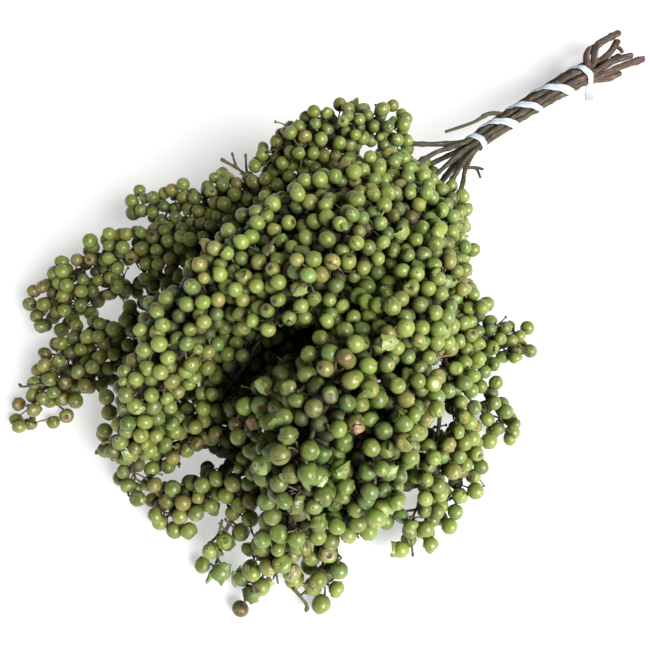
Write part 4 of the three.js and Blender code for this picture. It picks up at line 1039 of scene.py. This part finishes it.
def shape_berries(idx, V):
    """World positions of the template's points for each berry in idx."""
    n = len(idx)
    rad = np.ones((n, len(V)))
    for _ in range(5):
        w = unit(rng.normal(size=(n, 3))) * rng.uniform(1.4, 3.6, (n, 1))
        rad += rng.uniform(0.006, 0.022, (n, 1)) * np.cos(w @ V.T + rng.uniform(0, 6.28, (n, 1)))
    xy = np.hypot(V[:, 0], V[:, 1])
    up, dn = (V[:, 2] > 0), (V[:, 2] < 0)
    rad += np.where(up, 0.045 * np.exp(-(xy / 0.15) ** 2) - 0.025 * np.exp(-((xy - 0.32) / 0.12) ** 2), 0)
    rad -= np.where(dn, 0.08 * np.exp(-(xy / 0.3) ** 2), 0)
    # pressed-in and collapsed sides of the dried fruit
    for k, share in enumerate((0.55, 0.25, 0.12)):
        has = (DENT[idx] < share).astype(float)[:, None]
        d = unit(rng.normal(size=(n, 3)) + np.array([0, 0, 0.15]))
        x = d @ V.T
        c = np.clip(rng.beta(5, 1.6, (n, 1)), 0.62, 0.97)
        cut = np.where(x > c, c / np.maximum(x, 1e-3), 1.0)
        hollow = 0.10 * rng.random((n, 1)) * smooth(c + 0.03, 1.0, x) * (c < 0.9)
        rad = rad * (1 - has) + has * (rad * (0.25 + 0.75 * cut) - hollow)
    axis = np.where(BURST[idx][:, None] | (rng.random((n, 1)) < 0.5), np.array([[0.0, 0.0, 1.0]]), unit(rng.normal(size=(n, 3))))
    th = np.arccos(np.clip(axis @ V.T, -1, 1))
    wide = rng.uniform(0.36, 0.55, (n, 1))
    rad += CRATER[idx][:, None] * (0.05 * np.exp(-((th - 1.55 * wide) / 0.16) ** 2) - 0.34 * np.exp(-(th / wide) ** 2))
    for _ in range(3):
        w = unit(rng.normal(size=(n, 3))) * rng.uniform(4.0, 6.5, (n, 1))
        rad -= WRINKLE[idx][:, None] * (1.6 - 2.2 * np.abs(np.cos(w @ V.T + rng.uniform(0, 6.28, (n, 1)))))
    ridge = np.where(rng.random((n, 1)) < 0.18, rng.uniform(0.01, 0.04, (n, 1)), 0.0)
    ph = np.arctan2(V[:, 1], V[:, 0])[None]
    rad += ridge * np.cos(rng.integers(4, 8, (n, 1)) * ph + rng.uniform(0, 6.28, (n, 1))) * (xy[None] ** 1.5)
    sc = np.stack([rng.uniform(0.96, 1.04, n), rng.uniform(0.96, 1.04, n), rng.uniform(0.9, 1.05, n)], 1)
    local = V[None] * rad[:, :, None] * sc[:, None]
    z = TIP[idx]
    x = unit(np.cross(z, rng.normal(size=(n, 3))))
    y = np.cross(z, x)
    M = np.stack([x, y, z], 2)
    return P[idx][:, None] + R[idx][:, None, None] * np.einsum("nij,nvj->nvi", M, local)


FLAP = (rng.random(NB) < 0.035 + 0.1 * FRONT) & (LAYER == 0) & (np.maximum(front_seen, side_seen) > 0.25)


def peel_flaps(idx, V):
    """Thin curled scraps of skin that lift off some berries."""
    n = len(idx)
    long = rng.uniform(1.5, 2.7, (n, 1))
    wide = long * rng.uniform(0.5, 0.8, (n, 1))
    x, y = V[:, 0][None] * long, V[:, 1][None] * wide
    lobe = 1 + 0.16 * np.cos(rng.integers(2, 6, (n, 1)) * np.arctan2(V[:, 1], V[:, 0])[None] + rng.uniform(0, 6.28, (n, 1)))
    x, y = x * lobe, y * lobe
    z = V[:, 2][None] * 0.13 + rng.uniform(-0.16, 0.16, (n, 1)) * x ** 2 + rng.uniform(-0.22, 0.1, (n, 1)) * y ** 2 + rng.uniform(-0.15, 0.15, (n, 1)) * x * y
    away = unit(P[idx] - BALL[depth_of(P[idx])[1], :3])
    up = unit(away + 0.55 * rng.normal(size=(n, 3)))
    nrm = unit(up + 0.7 * rng.normal(size=(n, 3)))
    ax = unit(np.cross(nrm, rng.normal(size=(n, 3))))
    ay = np.cross(nrm, ax)
    at = P[idx] + up * (R[idx] * 1.05)[:, None]
    return at[:, None] + x[..., None] * ax[:, None] + y[..., None] * ay[:, None] + z[..., None] * nrm[:, None]


def berry_piece(name, idx):
    global tri_total
    torn = idx[FLAP[idx]]
    total = len(idx) + len(torn)
    cols = max(1, int(math.ceil(math.sqrt(total / 2))))
    rows = int(math.ceil(total / cols))
    V, Q, T, UQ, UT, BL, BC, BR = [], [], [], [], [], [], [], []
    base = cell = 0
    for lod, (tv, tq, tt, tuq, tut) in enumerate(TEMPLATES):
        mine = idx[LOD[idx] == lod]
        n = len(mine)
        if not n and not (lod == 1 and len(torn)):
            continue
        pos = shape_berries(mine, tv)
        tint = COL[mine]
        if lod == 1 and len(torn):
            pos = np.concatenate([pos, peel_flaps(torn, tv)])
            green = rng.random((len(torn), 1))
            tint = np.concatenate([tint, lin(118, 146, 74) * green + lin(70, 92, 44) * (1 - green)])
            mine = np.concatenate([mine, torn])
            n = len(mine)
        off = (base + np.arange(n) * len(tv))[:, None, None]
        V.append(pos.reshape(-1, 3))
        Q.append((tq[None] + off).reshape(-1, 4))
        T.append((tt[None] + off).reshape(-1, 3))
        c = np.arange(cell, cell + n)
        o = np.stack([c % cols, c // cols], -1)[:, None, None]
        size = np.array([1 / cols, 1 / rows])
        UQ.append(((o + 0.04 + 0.92 * tuq[None]) * size).reshape(-1, 2))
        UT.append(((o + 0.04 + 0.92 * tut[None]) * size).reshape(-1, 2))
        BL.append(np.tile(tv, (n, 1)))
        # painted shade: each point of a berry is darker the deeper it lies below the mass's surface, the deeper-layer
        # berries a little darker and the fill berries behind the gaps nearly black; this goes into the colour's alpha
        deep = DEPTH[mine][:, None] - np.einsum("nvk,nk->nv", pos - P[mine][:, None], AWAY[mine])
        shade = (1 - 0.97 * smooth(1.5, 10.5, deep)) * np.choose(LAYER[mine], [1.0, 0.8, 0.16])[:, None]
        BC.append(np.concatenate([np.repeat(tint, len(tv), 0), shade.reshape(-1, 1)], 1))
        BR.append(np.repeat(np.stack([rng.random(n) * 6, BLOTCH[mine], np.where(BURST[mine], 2.0, CRACK[mine])], 1), len(tv), 0))
        base += n * len(tv)
        cell += n
        tri_total += n * (2 * len(tq) + len(tt))
    V = np.concatenate(V)
    V[:, 2] = np.maximum(V[:, 2], 0.08)
    ob = link_mesh(name, V, [np.concatenate(Q), np.concatenate(T)], BERRY,
                   {"bl": ("FLOAT_VECTOR", np.concatenate(BL)), "bcol": ("FLOAT_COLOR", np.concatenate(BC)),
                    "brnd": ("FLOAT_VECTOR", np.concatenate(BR))}, np.concatenate(UQ + UT))
    return ob


for i, name in enumerate(NAMES):
    idx = np.flatnonzero(OWNER == i)
    ob = berry_piece("berries_" + name, idx)
    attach(ob, "root")
    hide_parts("spray_" + name)
    tw = strands[name].build("twigs_" + name, TWIG)
    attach(tw, "root")
    tri_total += sum(len(p.vertices) - 2 for p in tw.data.polygons)

# ---- husks: torn, dried skins and calyx scraps, hanging from twigs or lying on the berries ---------------
HANG = [((-155.6, -51.3, 15), 3.6, 2.7, (76, 92, 50)),
        ((-158.0, -57.8, 8), 4.4, 3.3, (138, 160, 92)),
        ((-163.5, -55.1, 6), 3.4, 1.3, (104, 128, 66)),
        ((-155.7, -62.9, 7), 4.2, 1.9, (138, 160, 92)),
        ((-154.7, -71.4, 5), 2.6, 1.7, (104, 128, 66)),
        ((-145.1, -73.0, 8), 2.6, 1.9, (138, 160, 92)),
        ((-100.6, -95.6, 11), 3.8, 2.9, (104, 128, 66))]
LIE = [((-147.6, -92.8, 96), (-136.8, -73.8, 2), 3, 1.5, (190, 178, 152)),
       ((-129.2, -50.5, 96), (-110.7, -13.9, 2), 2.3, 1.6, (142, 98, 80)),
       ((-119.9, -42.9, 96), (-97.6, -3.3, 2), 3, 2, (138, 160, 92)),
       ((-162.7, -35.3, 96), (-158.2, 7.6, 2), 3.8, 2.8, (104, 128, 66)),
       ((-106.4, 16.1, 96), (-78.5, 80.3, 2), 4.4, 3, (104, 128, 66)),
       ((-106.3, 19.9, 96), (-78.3, 85.6, 2), 3.2, 2.4, (138, 160, 92)),
       ((-77.8, -56.6, 96), (-38.0, -22.6, 2), 3.4, 2.8, (138, 160, 92)),
       ((-115.3, -92.2, 96), (-91.1, -73.0, 2), 4.6, 2.3, (138, 160, 92)),
       ((-109.3, -84.2, 96), (-82.6, -61.6, 2), 2.3, 2, (190, 178, 152)),
       ((-105.4, -73.0, 96), (-77.0, -45.8, 2), 2, 2.3, (142, 98, 80)),
       ((-73.2, -73.0, 96), (-31.5, -45.9, 2), 3.6, 1.5, (138, 160, 92)),
       ((-88.0, -23.3, 96), (-52.3, 24.5, 2), 3.2, 1.6, (138, 160, 92)),
       ((-46.6, -28.0, 96), (6.2, 17.9, 2), 3.2, 2.6, (138, 160, 92)),
       ((-130.3, -61.2, 96), (-112.3, -29.2, 2), 3, 2.4, (104, 128, 66)),
       ((-131.3, -42.7, 96), (-113.7, -2.9, 2), 3, 2.2, (138, 160, 92)),
       ((-116.9, -79.8, 96), (-93.3, -55.5, 2), 3.4, 2.2, (104, 128, 66)),
       ((-132.5, -86.2, 96), (-115.4, -64.5, 2), 3.2, 2.4, (104, 128, 66)),
       ((-144.1, -20.9, 96), (-131.8, 28.0, 2), 2.6, 2, (76, 92, 50)),
       ((-117.2, -22.6, 96), (-93.7, 25.5, 2), 2.6, 2.2, (104, 128, 66)),
       ((-123.7, -87.8, 96), (-103.0, -66.8, 2), 2.8, 1.9, (104, 128, 66)),
       ((-132.7, -78.3, 96), (-115.7, -53.4, 2), 2.4, 1.6, (76, 92, 50)),
       ((-135.6, -64.1, 96), (-119.7, -33.3, 2), 2.6, 2, (132, 154, 88)),
       ((-144.1, -85.7, 96), (-131.8, -63.8, 2), 2.6, 1.7, (104, 128, 66)),
       ((-138.4, -94.1, 96), (-123.7, -75.8, 2), 2.2, 1.4, (142, 98, 80)),
       ((-149.0, -76.0, 96), (-138.8, -50.1, 2), 2.8, 1.8, (76, 92, 50)),
       ((-106.3, -88.7, 96), (-78.3, -68.1, 2), 2.6, 1.7, (132, 154, 88)),
       ((-95.3, -85.6, 96), (-62.8, -63.7, 2), 2.2, 1.5, (76, 92, 50)),
       ((-96.3, -65.4, 96), (-64.2, -35.1, 2), 2.6, 1.8, (104, 128, 66)),
       ((-112.1, -67.3, 96), (-86.5, -37.8, 2), 2.4, 1.9, (76, 92, 50)),
       ((-144.9, -35.6, 96), (-133.0, 7.2, 2), 2.4, 1.7, (104, 128, 66)),
       ((-152.4, -25.0, 96), (-143.6, 22.2, 2), 2.2, 1.5, (132, 154, 88)),
       ((-133.3, -16.1, 96), (-116.6, 34.7, 2), 2.2, 1.6, (76, 92, 50)),
       ((-102.7, -46.5, 96), (-73.2, -8.3, 2), 2, 1.3, (184, 170, 142)),
       ((-61.3, -17.9, 96), (-14.6, 32.2, 2), 2.2, 1.5, (142, 98, 80)),
       ((-85.1, -3.5, 96), (-48.3, 52.6, 2), 2.2, 1.4, (132, 154, 88)),
       ((-65.9, -45.9, 96), (-21.1, -7.5, 2), 2.2, 1.6, (104, 128, 66))]
HUSKS = []
for at, long, wide, rgb in HANG:
    at = np.array(at) + SHIFT
    j = (np.linalg.norm(P - at, axis=1) - R).argmin()
    at = P[j] + unit(at - P[j]) * min(np.linalg.norm(at - P[j]), R[j] + 0.4 * wide)        # its stalk end touches a berry
    HUSKS.append((at, unit(-CAM_FWD + 0.45 * rng.normal(size=3)), unit(np.array([0.2, 0.1, -1.0]) + 0.3 * rng.normal(size=3)), long, wide, rgb))
for a, b, long, wide, rgb in LIE:
    a, b = np.array(a) + SHIFT, np.array(b) + SHIFT
    go = unit(b - a)
    along = (P - a) @ go
    miss = np.linalg.norm(P - a - along[:, None] * go, axis=1)
    hit = np.flatnonzero((miss < R * 0.9) & (along > 0))
    if not len(hit):
        continue
    reach = along[hit] - np.sqrt(R[hit] ** 2 - miss[hit] ** 2)
    j = hit[reach.argmin()]
    at = a + go * (reach.min() - 0.35)
    HUSKS.append((at, unit(unit(at - P[j]) + 0.35 * rng.normal(size=3)), unit(rng.normal(size=3)), long, wide, rgb))
tv, tq, tt, tuq, tut = ball_template(20, 12)
V, Q, T, UQ, UT, BC, BR = [], [], [], [], [], [], []
cols = 6
rows = int(math.ceil(len(HUSKS) / cols))
for k, (at, face, lead, long, wide, rgb) in enumerate(HUSKS):
    ax = unit(lead - face * (lead @ face))
    ay = np.cross(face, ax)
    ang = np.arctan2(tv[:, 1], tv[:, 0])
    lobe = 1 + 0.13 * np.cos(rng.integers(3, 6) * ang + rng.uniform(0, 6.28)) + 0.07 * np.cos(9 * ang + rng.uniform(0, 6.28))
    x = tv[:, 0] * lobe
    y = tv[:, 1] * lobe * (1 - 0.35 * np.clip(x, -1, 1))            # broad at the stalk, narrower at the tip
    curl = rng.uniform(0.25, 0.6) * (0.45 - x ** 2 * 0.5 - y ** 2 * 0.9) * wide + 0.12 * np.cos(5 * x + 4 * y + rng.uniform(0, 6.28)) * wide * 0.6
    z = tv[:, 2] * 0.17 + curl
    V.append(at + (x * long)[:, None] * ax + (y * wide)[:, None] * ay + z[:, None] * face)
    Q.append(tq + k * len(tv))
    T.append(tt + k * len(tv))
    o, size = np.array([k % cols, k // cols]), np.array([1 / cols, 1 / rows])
    UQ.append(((o + 0.04 + 0.92 * tuq) * size).reshape(-1, 2))
    UT.append(((o + 0.04 + 0.92 * tut) * size).reshape(-1, 2))
    BC.append(np.tile(np.append(lin(*rgb) * rng.uniform(0.8, 1.05), 1.0), (len(tv), 1)))
    BR.append(np.tile([rng.random() * 6, 0.35, 0.6], (len(tv), 1)))
V = np.concatenate(V)
V[:, 2] = np.maximum(V[:, 2], 0.1)
ob = link_mesh("husks", V, [np.concatenate(Q), np.concatenate(T)], BERRY,
               {"bl": ("FLOAT_VECTOR", np.tile(tv, (len(HUSKS), 1))), "bcol": ("FLOAT_COLOR", np.concatenate(BC)),
                "brnd": ("FLOAT_VECTOR", np.concatenate(BR))}, np.concatenate(UQ + UT))
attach(ob, "root")
tri_total += len(HUSKS) * (2 * len(tq) + len(tt))

# ---- stems ---------------------------------------------------------------------------------------
H = curve_points(np.asarray(HANDLE, float) + SHIFT, 1.0)


def handle_at(t):
    f = t * (len(H) - 1)
    at = np.array([np.interp(f, np.arange(len(H)), H[:, k]) for k in range(3)])
    k = int(min(max(f, 1), len(H) - 2))
    tan = unit(H[k + 1] - H[k - 1])
    side = np.array([0.0, 1.0, 0.0])
    side = unit(side - tan * (side @ tan))
    return at, tan, side, np.cross(tan, side)


def ring_r(t):
    return RING_R[0] + (RING_R[1] - RING_R[0]) * t


def on_ring(t, ang, radius):
    at, _, side, up = handle_at(t)
    return at + side * math.cos(ang) * radius + up * math.sin(ang) * radius


def stem_tube(path, radius, sides, step, flare=True, knots=0.0, cut=True):
    """A knobbly dry stem with ridged bark, as rings along its path; its cut ends are closed in stem_piece."""
    S = curve_points(path, step)
    n = len(S)
    T, N, B = sliding_frames(S)
    u = np.linspace(0, 1, n)
    length = n * step
    r = radius(u)
    r = r * (1 + 0.07 * np.interp(u, np.linspace(0, 1, max(4, int(length / 6))), rng.normal(0, 1, max(4, int(length / 6)))))
    s = rng.uniform(6, 16)
    while knots and s < length - 4:
        r = r * (1 + knots * rng.uniform(0.5, 1.2) * np.exp(-((u * length - s) / rng.uniform(1.0, 2.0)) ** 2))
        s += rng.uniform(11, 24)
    a = np.arange(sides) / sides * 2 * np.pi
    ridges = np.zeros((n, sides))
    for m, amp in ((3, 0.06), (5, 0.05), (8, 0.035)):
        ph = np.cumsum(rng.normal(0, 0.09, n)) + rng.uniform(0, 6.28)
        ridges += amp * np.cos(m * a[None] + ph[:, None])
    jag = rng.normal(0, 0.02, (n, sides))
    rr = r[:, None] * (1 + ridges + jag)
    ring = S[:, None, :3] + rr[..., None] * (np.cos(a)[None, :, None] * N[:, None] + np.sin(a)[None, :, None] * B[:, None])
    return S, ring, r, T


def stem_piece(name, tubes, material):
    """One mesh from stem tubes: each a ring grid, closed by sunk end faces."""
    V, Q, T, UQ, UT, TC, COLS = [], [], [], [], [], [], []
    flat = []
    base = 0
    width = 1.0 / len(tubes)
    for c, (S, ring, r, tan, colours) in enumerate(tubes):
        n, sides = ring.shape[:2]
        ends = []
        for e, sgn in ((0, -1), (n - 1, 1)):
            inner = ring[e].mean(0) + (ring[e] - ring[e].mean(0)) * 0.55 + tan[e] * sgn * 0.12 * r[e]
            ends.append((inner, ring[e].mean(0) + tan[e] * sgn * (-0.02) * r[e]))
        verts = np.concatenate([ring.reshape(-1, 3), ends[0][0], ends[0][1][None], ends[1][0], ends[1][1][None]])
        i, j = np.meshgrid(np.arange(n - 1), np.arange(sides), indexing="ij")
        j2 = (j + 1) % sides
        q = np.stack([i * sides + j, i * sides + j2, (i + 1) * sides + j2, (i + 1) * sides + j], -1).reshape(-1, 4)
        k = np.arange(sides)
        k2 = (k + 1) % sides
        a0 = n * sides
        b0 = a0 + sides + 1
        q0 = np.stack([a0 + k, a0 + k2, k2, k], -1)
        q1 = np.stack([(n - 1) * sides + k, (n - 1) * sides + k2, b0 + k2, b0 + k], -1)
        t0 = np.stack([np.full(sides, a0 + sides), a0 + k2, a0 + k], -1)
        t1 = np.stack([np.full(sides, b0 + sides), b0 + k, b0 + k2], -1)
        V.append(verts)
        Q.append(np.concatenate([q, q0, q1]) + base)
        T.append(np.concatenate([t0, t1]) + base)
        uq = np.stack([j, j + 1, j + 1, j], -1).reshape(-1, 4) / sides
        vq = 0.06 + 0.88 * np.stack([i, i, i + 1, i + 1], -1).reshape(-1, 4) / (n - 1)
        u0 = np.stack([k, k + 1, k + 1, k], -1) / sides
        v0 = np.tile([0.025, 0.025, 0.06, 0.06], (sides, 1))
        v1 = np.tile([0.94, 0.94, 0.975, 0.975], (sides, 1))
        ut = np.concatenate([np.stack([k + 0.5, k + 1.0, k + 0.0], -1), np.stack([k + 0.5, k + 0.0, k + 1.0], -1)]) / sides
        vt = np.concatenate([np.tile([0.0, 0.025, 0.025], (sides, 1)), np.tile([1.0, 0.975, 0.975], (sides, 1))])
        for us, vs, store in ((np.concatenate([uq, u0, u0]), np.concatenate([vq, v0, v1]), UQ), (ut, vt, UT)):
            store.append(np.stack([(c + 0.05 + 0.9 * us) * width, 0.01 + 0.98 * vs], -1).reshape(-1, 2))
        s = np.concatenate([[0], np.cumsum(np.linalg.norm(np.diff(S[:, :3], axis=0), axis=1))])
        ang = np.arange(sides) / sides * 2 * np.pi
        tc = np.stack([np.repeat(s, sides), np.tile(np.cos(ang), n), np.tile(np.sin(ang), n)], -1)
        extra = [np.stack([np.full(sides, x), np.cos(ang) * 0.5, np.sin(ang) * 0.5], -1) for x in (s[0], s[-1])]
        tc = np.concatenate([tc, extra[0], [[s[0], 0, 0]], extra[1], [[s[-1], 0, 0]]])
        TC.append(tc + np.array([rng.uniform(0, 80), 0, 0]))
        wood = lin(150, 120, 92)
        COLS.append(np.concatenate([np.repeat(colours, sides, 0), np.tile(wood, (sides + 1, 1)), np.tile(wood, (sides + 1, 1))]))
        base += len(verts)
    V = np.concatenate(V)
    V[:, 2] = np.maximum(V[:, 2], 0.1)
    cc = np.concatenate(COLS)
    return link_mesh(name, V, [np.concatenate(Q), np.concatenate(T)], material,
                     {"tc": ("FLOAT_VECTOR", np.concatenate(TC)),
                      "tcol": ("FLOAT_COLOR", np.concatenate([cc, np.ones((len(cc), 1))], 1))}, np.concatenate(UQ + UT))


RING_T = [0.005, 0.07, 0.14, 0.27, 0.41, 0.55, 0.66, 0.78]
for name, s in STEMS.items():
    into = [np.array(p, float) + SHIFT for p in s["into"]]
    ends = [np.array(p, float) + SHIFT for p in s["end"]]
    ring = [handle_at(t)[0] if s["at"] is None else on_ring(t, math.radians(s["at"]) + RING_TWIST * (t - 0.35), ring_r(t)) for t in RING_T]
    path = np.array(into[::-1] + ring + ends)
    whole = curve_points(path, 1.0)
    age = lambda u: np.clip((u - 0.14) * 4, 0, STEM_R - NECK_R) + STEM_GROW * np.clip((u - 0.45) / 0.3, 0, 1)
    S, ringpts, r, tan = stem_tube(path, lambda u: NECK_R + age(u), 16, 1.2, knots=0.25)
    u = np.linspace(0, 1, len(S))[:, None]
    tint = rng.normal(0, 0.003, 3)
    colours = np.where(u < 0.62, OLIVE * 0.85 * (1 - u / 0.62) + BROWN * (u / 0.62), BROWN * (1 - (u - 0.62) / 0.38) + MAUVE * ((u - 0.62) / 0.38))
    colours = np.clip(colours * rng.uniform(0.5, 0.95) + tint, 0.01, 1)
    tubes = [(S, ringpts, r, tan, colours)]
    for t in s["twigs"]:
        pts = [np.array(p, float) + SHIFT for p in t["path"]]
        if t["root"] != "end":
            if t["root"] >= 0:
                root = on_ring(t["root"], math.radians(s["at"]) + RING_TWIST * (t["root"] - 0.35), ring_r(t["root"]))
            else:
                root = whole[int((0.2 + t["root"] * 0.5) * (len(whole) - 1)), :3]
            pts = [root] + pts
        S2, ring2, r2, tan2 = stem_tube(np.array(pts), lambda u, t=t: t["r"][0] + (t["r"][1] - t["r"][0]) * u, 12, 0.8, knots=0.3)
        far = S2[-1, 0]
        base_col = MAUVE if far > 150 else OLIVE * 0.7
        tubes.append((S2, ring2, r2, tan2, np.tile(base_col, (len(S2), 1))))
    ob = stem_piece("bark_" + name, tubes, BARK)
    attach(ob, "root")
    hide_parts(name)
    tri_total += sum(len(p.vertices) - 2 for p in ob.data.polygons)

# ---- tie -------------------------------------------------------------------------------------------
TIE_W, TIE_T = 4.1, 0.42
TIE_LAY = np.array([[0.4, 0.006], [0.81, 0.008], [3.31, 0.036], [7.09, 0.108], [9.59, 0.246], [13.38, 0.268],
                    [15.88, 0.412], [19.66, 0.434], [22.16, 0.614], [25.94, 0.69], [28.3, 0.732]])
TIE_TAIL = np.array([[0, 0, 0], [-0.8, -0.6, -1.8], [-2.4, -2.0, -3.2], [-4.2, -4.0, -4.2], [-6.0, -6.2, -4.8]])
TAIL_ACROSS = np.array([[0.92, -0.36, -0.1], [0.82, -0.55, -0.05], [0.77, -0.64, 0.0], [0.75, -0.66, 0.0]])
steps = 200
tail = 26
centre, outd, across = [], [], []
for i in range(steps + 1):
    ang = TIE_LAY[0, 0] + (TIE_LAY[-1, 0] - TIE_LAY[0, 0]) * i / steps
    t = sum(np.interp(ang + o, TIE_LAY[:, 0], TIE_LAY[:, 1]) for o in (-0.5, -0.25, 0, 0.25, 0.5)) / 5
    at, tan, side, up = handle_at(t)
    hull = max(ring_r(t) * math.cos(ang - (math.radians(s["at"]) + RING_TWIST * (t - 0.35))) for s in STEMS.values() if s["at"] is not None)
    o = side * math.cos(ang) + up * math.sin(ang)
    centre.append(at + o * (hull + STEM_R * 1.12 + STEM_GROW * min(max((t - 0.3) / 0.42, 0.0), 1.0) + TIE_T / 2))
    outd.append(o)
    across.append(tan)
a_last, o_last, c_last = across[-1], outd[-1], centre[-1]
hang = curve_points(np.vstack([centre[-8] - c_last, TIE_TAIL]), 0.25)[:, :3]
hang = hang[np.linalg.norm(hang, axis=1).argmin() + 1:]
pick = np.linspace(0, len(hang) - 1, tail).astype(int)
turn = np.vstack([a_last, TAIL_ACROSS])
for i, h in enumerate(hang[pick]):
    f = (i + 1) / tail * 4
    centre.append(c_last + h)
    outd.append(o_last)
    across.append(unit(np.array([np.interp(f, np.arange(5), turn[:, c]) for c in range(3)])))
centre, outd, across = (np.array(x) for x in (centre, outd, across))
along = unit(np.gradient(centre, axis=0))
across = unit(across - along * (across * along).sum(1, keepdims=True))
outd = unit(outd - across * (outd * across).sum(1, keepdims=True))
outd[steps + 1:] = unit(np.cross(along, across))[steps + 1:]
n = len(centre)
W = TIE_W * (1 + 0.10 * np.interp(np.arange(n), np.arange(0, n + 12, 12), rng.normal(0, 1, len(np.arange(0, n + 12, 12)))))
nx = 10
xs = np.linspace(-0.5, 0.5, nx)
fold = np.zeros((n, nx))
for _ in range(4):
    f = rng.uniform(0.5, 2.2)
    fold += 0.07 * np.cos(xs[None] * 6.28 * f + np.cumsum(rng.normal(0, 0.16, n))[:, None] + rng.uniform(0, 6.28))
thick = TIE_T * (1 - 0.55 * (2 * np.abs(xs)) ** 4)
outer = centre[:, None] + across[:, None] * (xs[None] * W[:, None])[..., None] + outd[:, None] * (fold + thick[None] / 2)[..., None]
inner = centre[:, None] + across[:, None] * (xs[None] * W[:, None])[..., None] + outd[:, None] * (fold * 0.6 - thick[None] / 2)[..., None]
loop = np.concatenate([outer, inner[:, ::-1]], 1)
m = loop.shape[1]
i, j = np.meshgrid(np.arange(n - 1), np.arange(m), indexing="ij")
j2 = (j + 1) % m
quads = np.stack([i * m + j, i * m + j2, (i + 1) * m + j2, (i + 1) * m + j], -1).reshape(-1, 4)
caps = []
for k in range(nx - 1):
    caps.append([k + 1, k, m - 1 - k, m - 2 - k])
    e = (n - 1) * m
    caps.append([e + k, e + k + 1, e + m - 2 - k, e + m - 1 - k])
quads = np.concatenate([quads, np.array(caps)])
s_along = np.concatenate([[0], np.cumsum(np.linalg.norm(np.diff(centre, axis=0), axis=1))])
xx = np.concatenate([xs, xs[::-1]]) * TIE_W
tc = np.stack([np.repeat(s_along, m), np.tile(xx, n), np.tile(np.concatenate([np.zeros(nx), np.ones(nx)]), n)], -1)
turns_uv = 8
vu = np.stack([i, i, i + 1, i + 1], -1).reshape(-1, 4) / (n - 1)
uu = np.stack([j, j + 1, j + 1, j], -1).reshape(-1, 4) / m
col_i = np.minimum((i.reshape(-1, 1) * turns_uv) // (n - 1), turns_uv - 1)
uv_body = np.stack([(col_i + 0.05 + 0.9 * uu) / turns_uv, 0.02 + 0.9 * (vu * turns_uv - col_i)], -1).reshape(-1, 2)
uv_caps = np.tile(np.array([[0.01, 0.96], [0.03, 0.96], [0.03, 0.99], [0.01, 0.99]]), (len(caps), 1)) + np.repeat(np.arange(len(caps))[:, None] * np.array([[0.05, 0.0]]), 4, 0)
ob = link_mesh("tie_ribbon", loop.reshape(-1, 3), [quads], TIE, {"tc": ("FLOAT_VECTOR", tc)}, np.concatenate([uv_body, uv_caps]))
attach(ob, "root")
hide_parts("tie_strip")
tri_total += 2 * len(quads)

# ---- floor and light ----------------------------------------------------------------------------------
me = bpy.data.meshes.new("floor")
me.from_pydata([(-9, -9, 0), (9, -9, 0), (9, 9, 0), (-9, 9, 0)], [], [(0, 1, 2, 3)])
me.materials.append(floor_material())
floor = bpy.data.objects.new("floor", me)
bpy.context.scene.collection.objects.link(floor)

world = bpy.data.worlds.new("studio")
bpy.context.scene.world = world
world.use_nodes = True
wt = world.node_tree
bg = wt.nodes["Background"]
bg.inputs[0].default_value = (1.0, 1.0, 1.0, 1.0)
sky = node(wt, "ShaderNodeTexCoord")
high = node(wt, "ShaderNodeSeparateXYZ")
wt.links.new(sky.outputs["Generated"], high.inputs[0])
fade = node(wt, "ShaderNodeMapRange", interpolation_type="SMOOTHSTEP")     # pale backdrop, darker studio above it
for k, v in ((1, 0.2), (2, 0.5), (3, 0.6), (4, 0.07)):
    fade.inputs[k].default_value = v
wt.links.new(high.outputs[2], fade.inputs[0])
wt.links.new(fade.outputs[0], bg.inputs[1])


# one broad soft lamp, from beside the camera
d = bpy.data.lights.new("key", "SUN")
d.energy = 6.4
d.angle = math.radians(34)
d.color = (1.0, 0.992, 0.975)
key = bpy.data.objects.new("key", d)
bpy.context.scene.collection.objects.link(key)
at = unit(CAM_RIGHT * 0.54 - CAM_UP * 0.17 - CAM_FWD * 0.82) * 2.0
key.location = tuple(at)
key.rotation_euler = Vector(-at).to_track_quat("-Z", "Y").to_euler()
scene = bpy.context.scene
scene.view_settings.view_transform = "Standard"
scene.view_settings.look = "None"
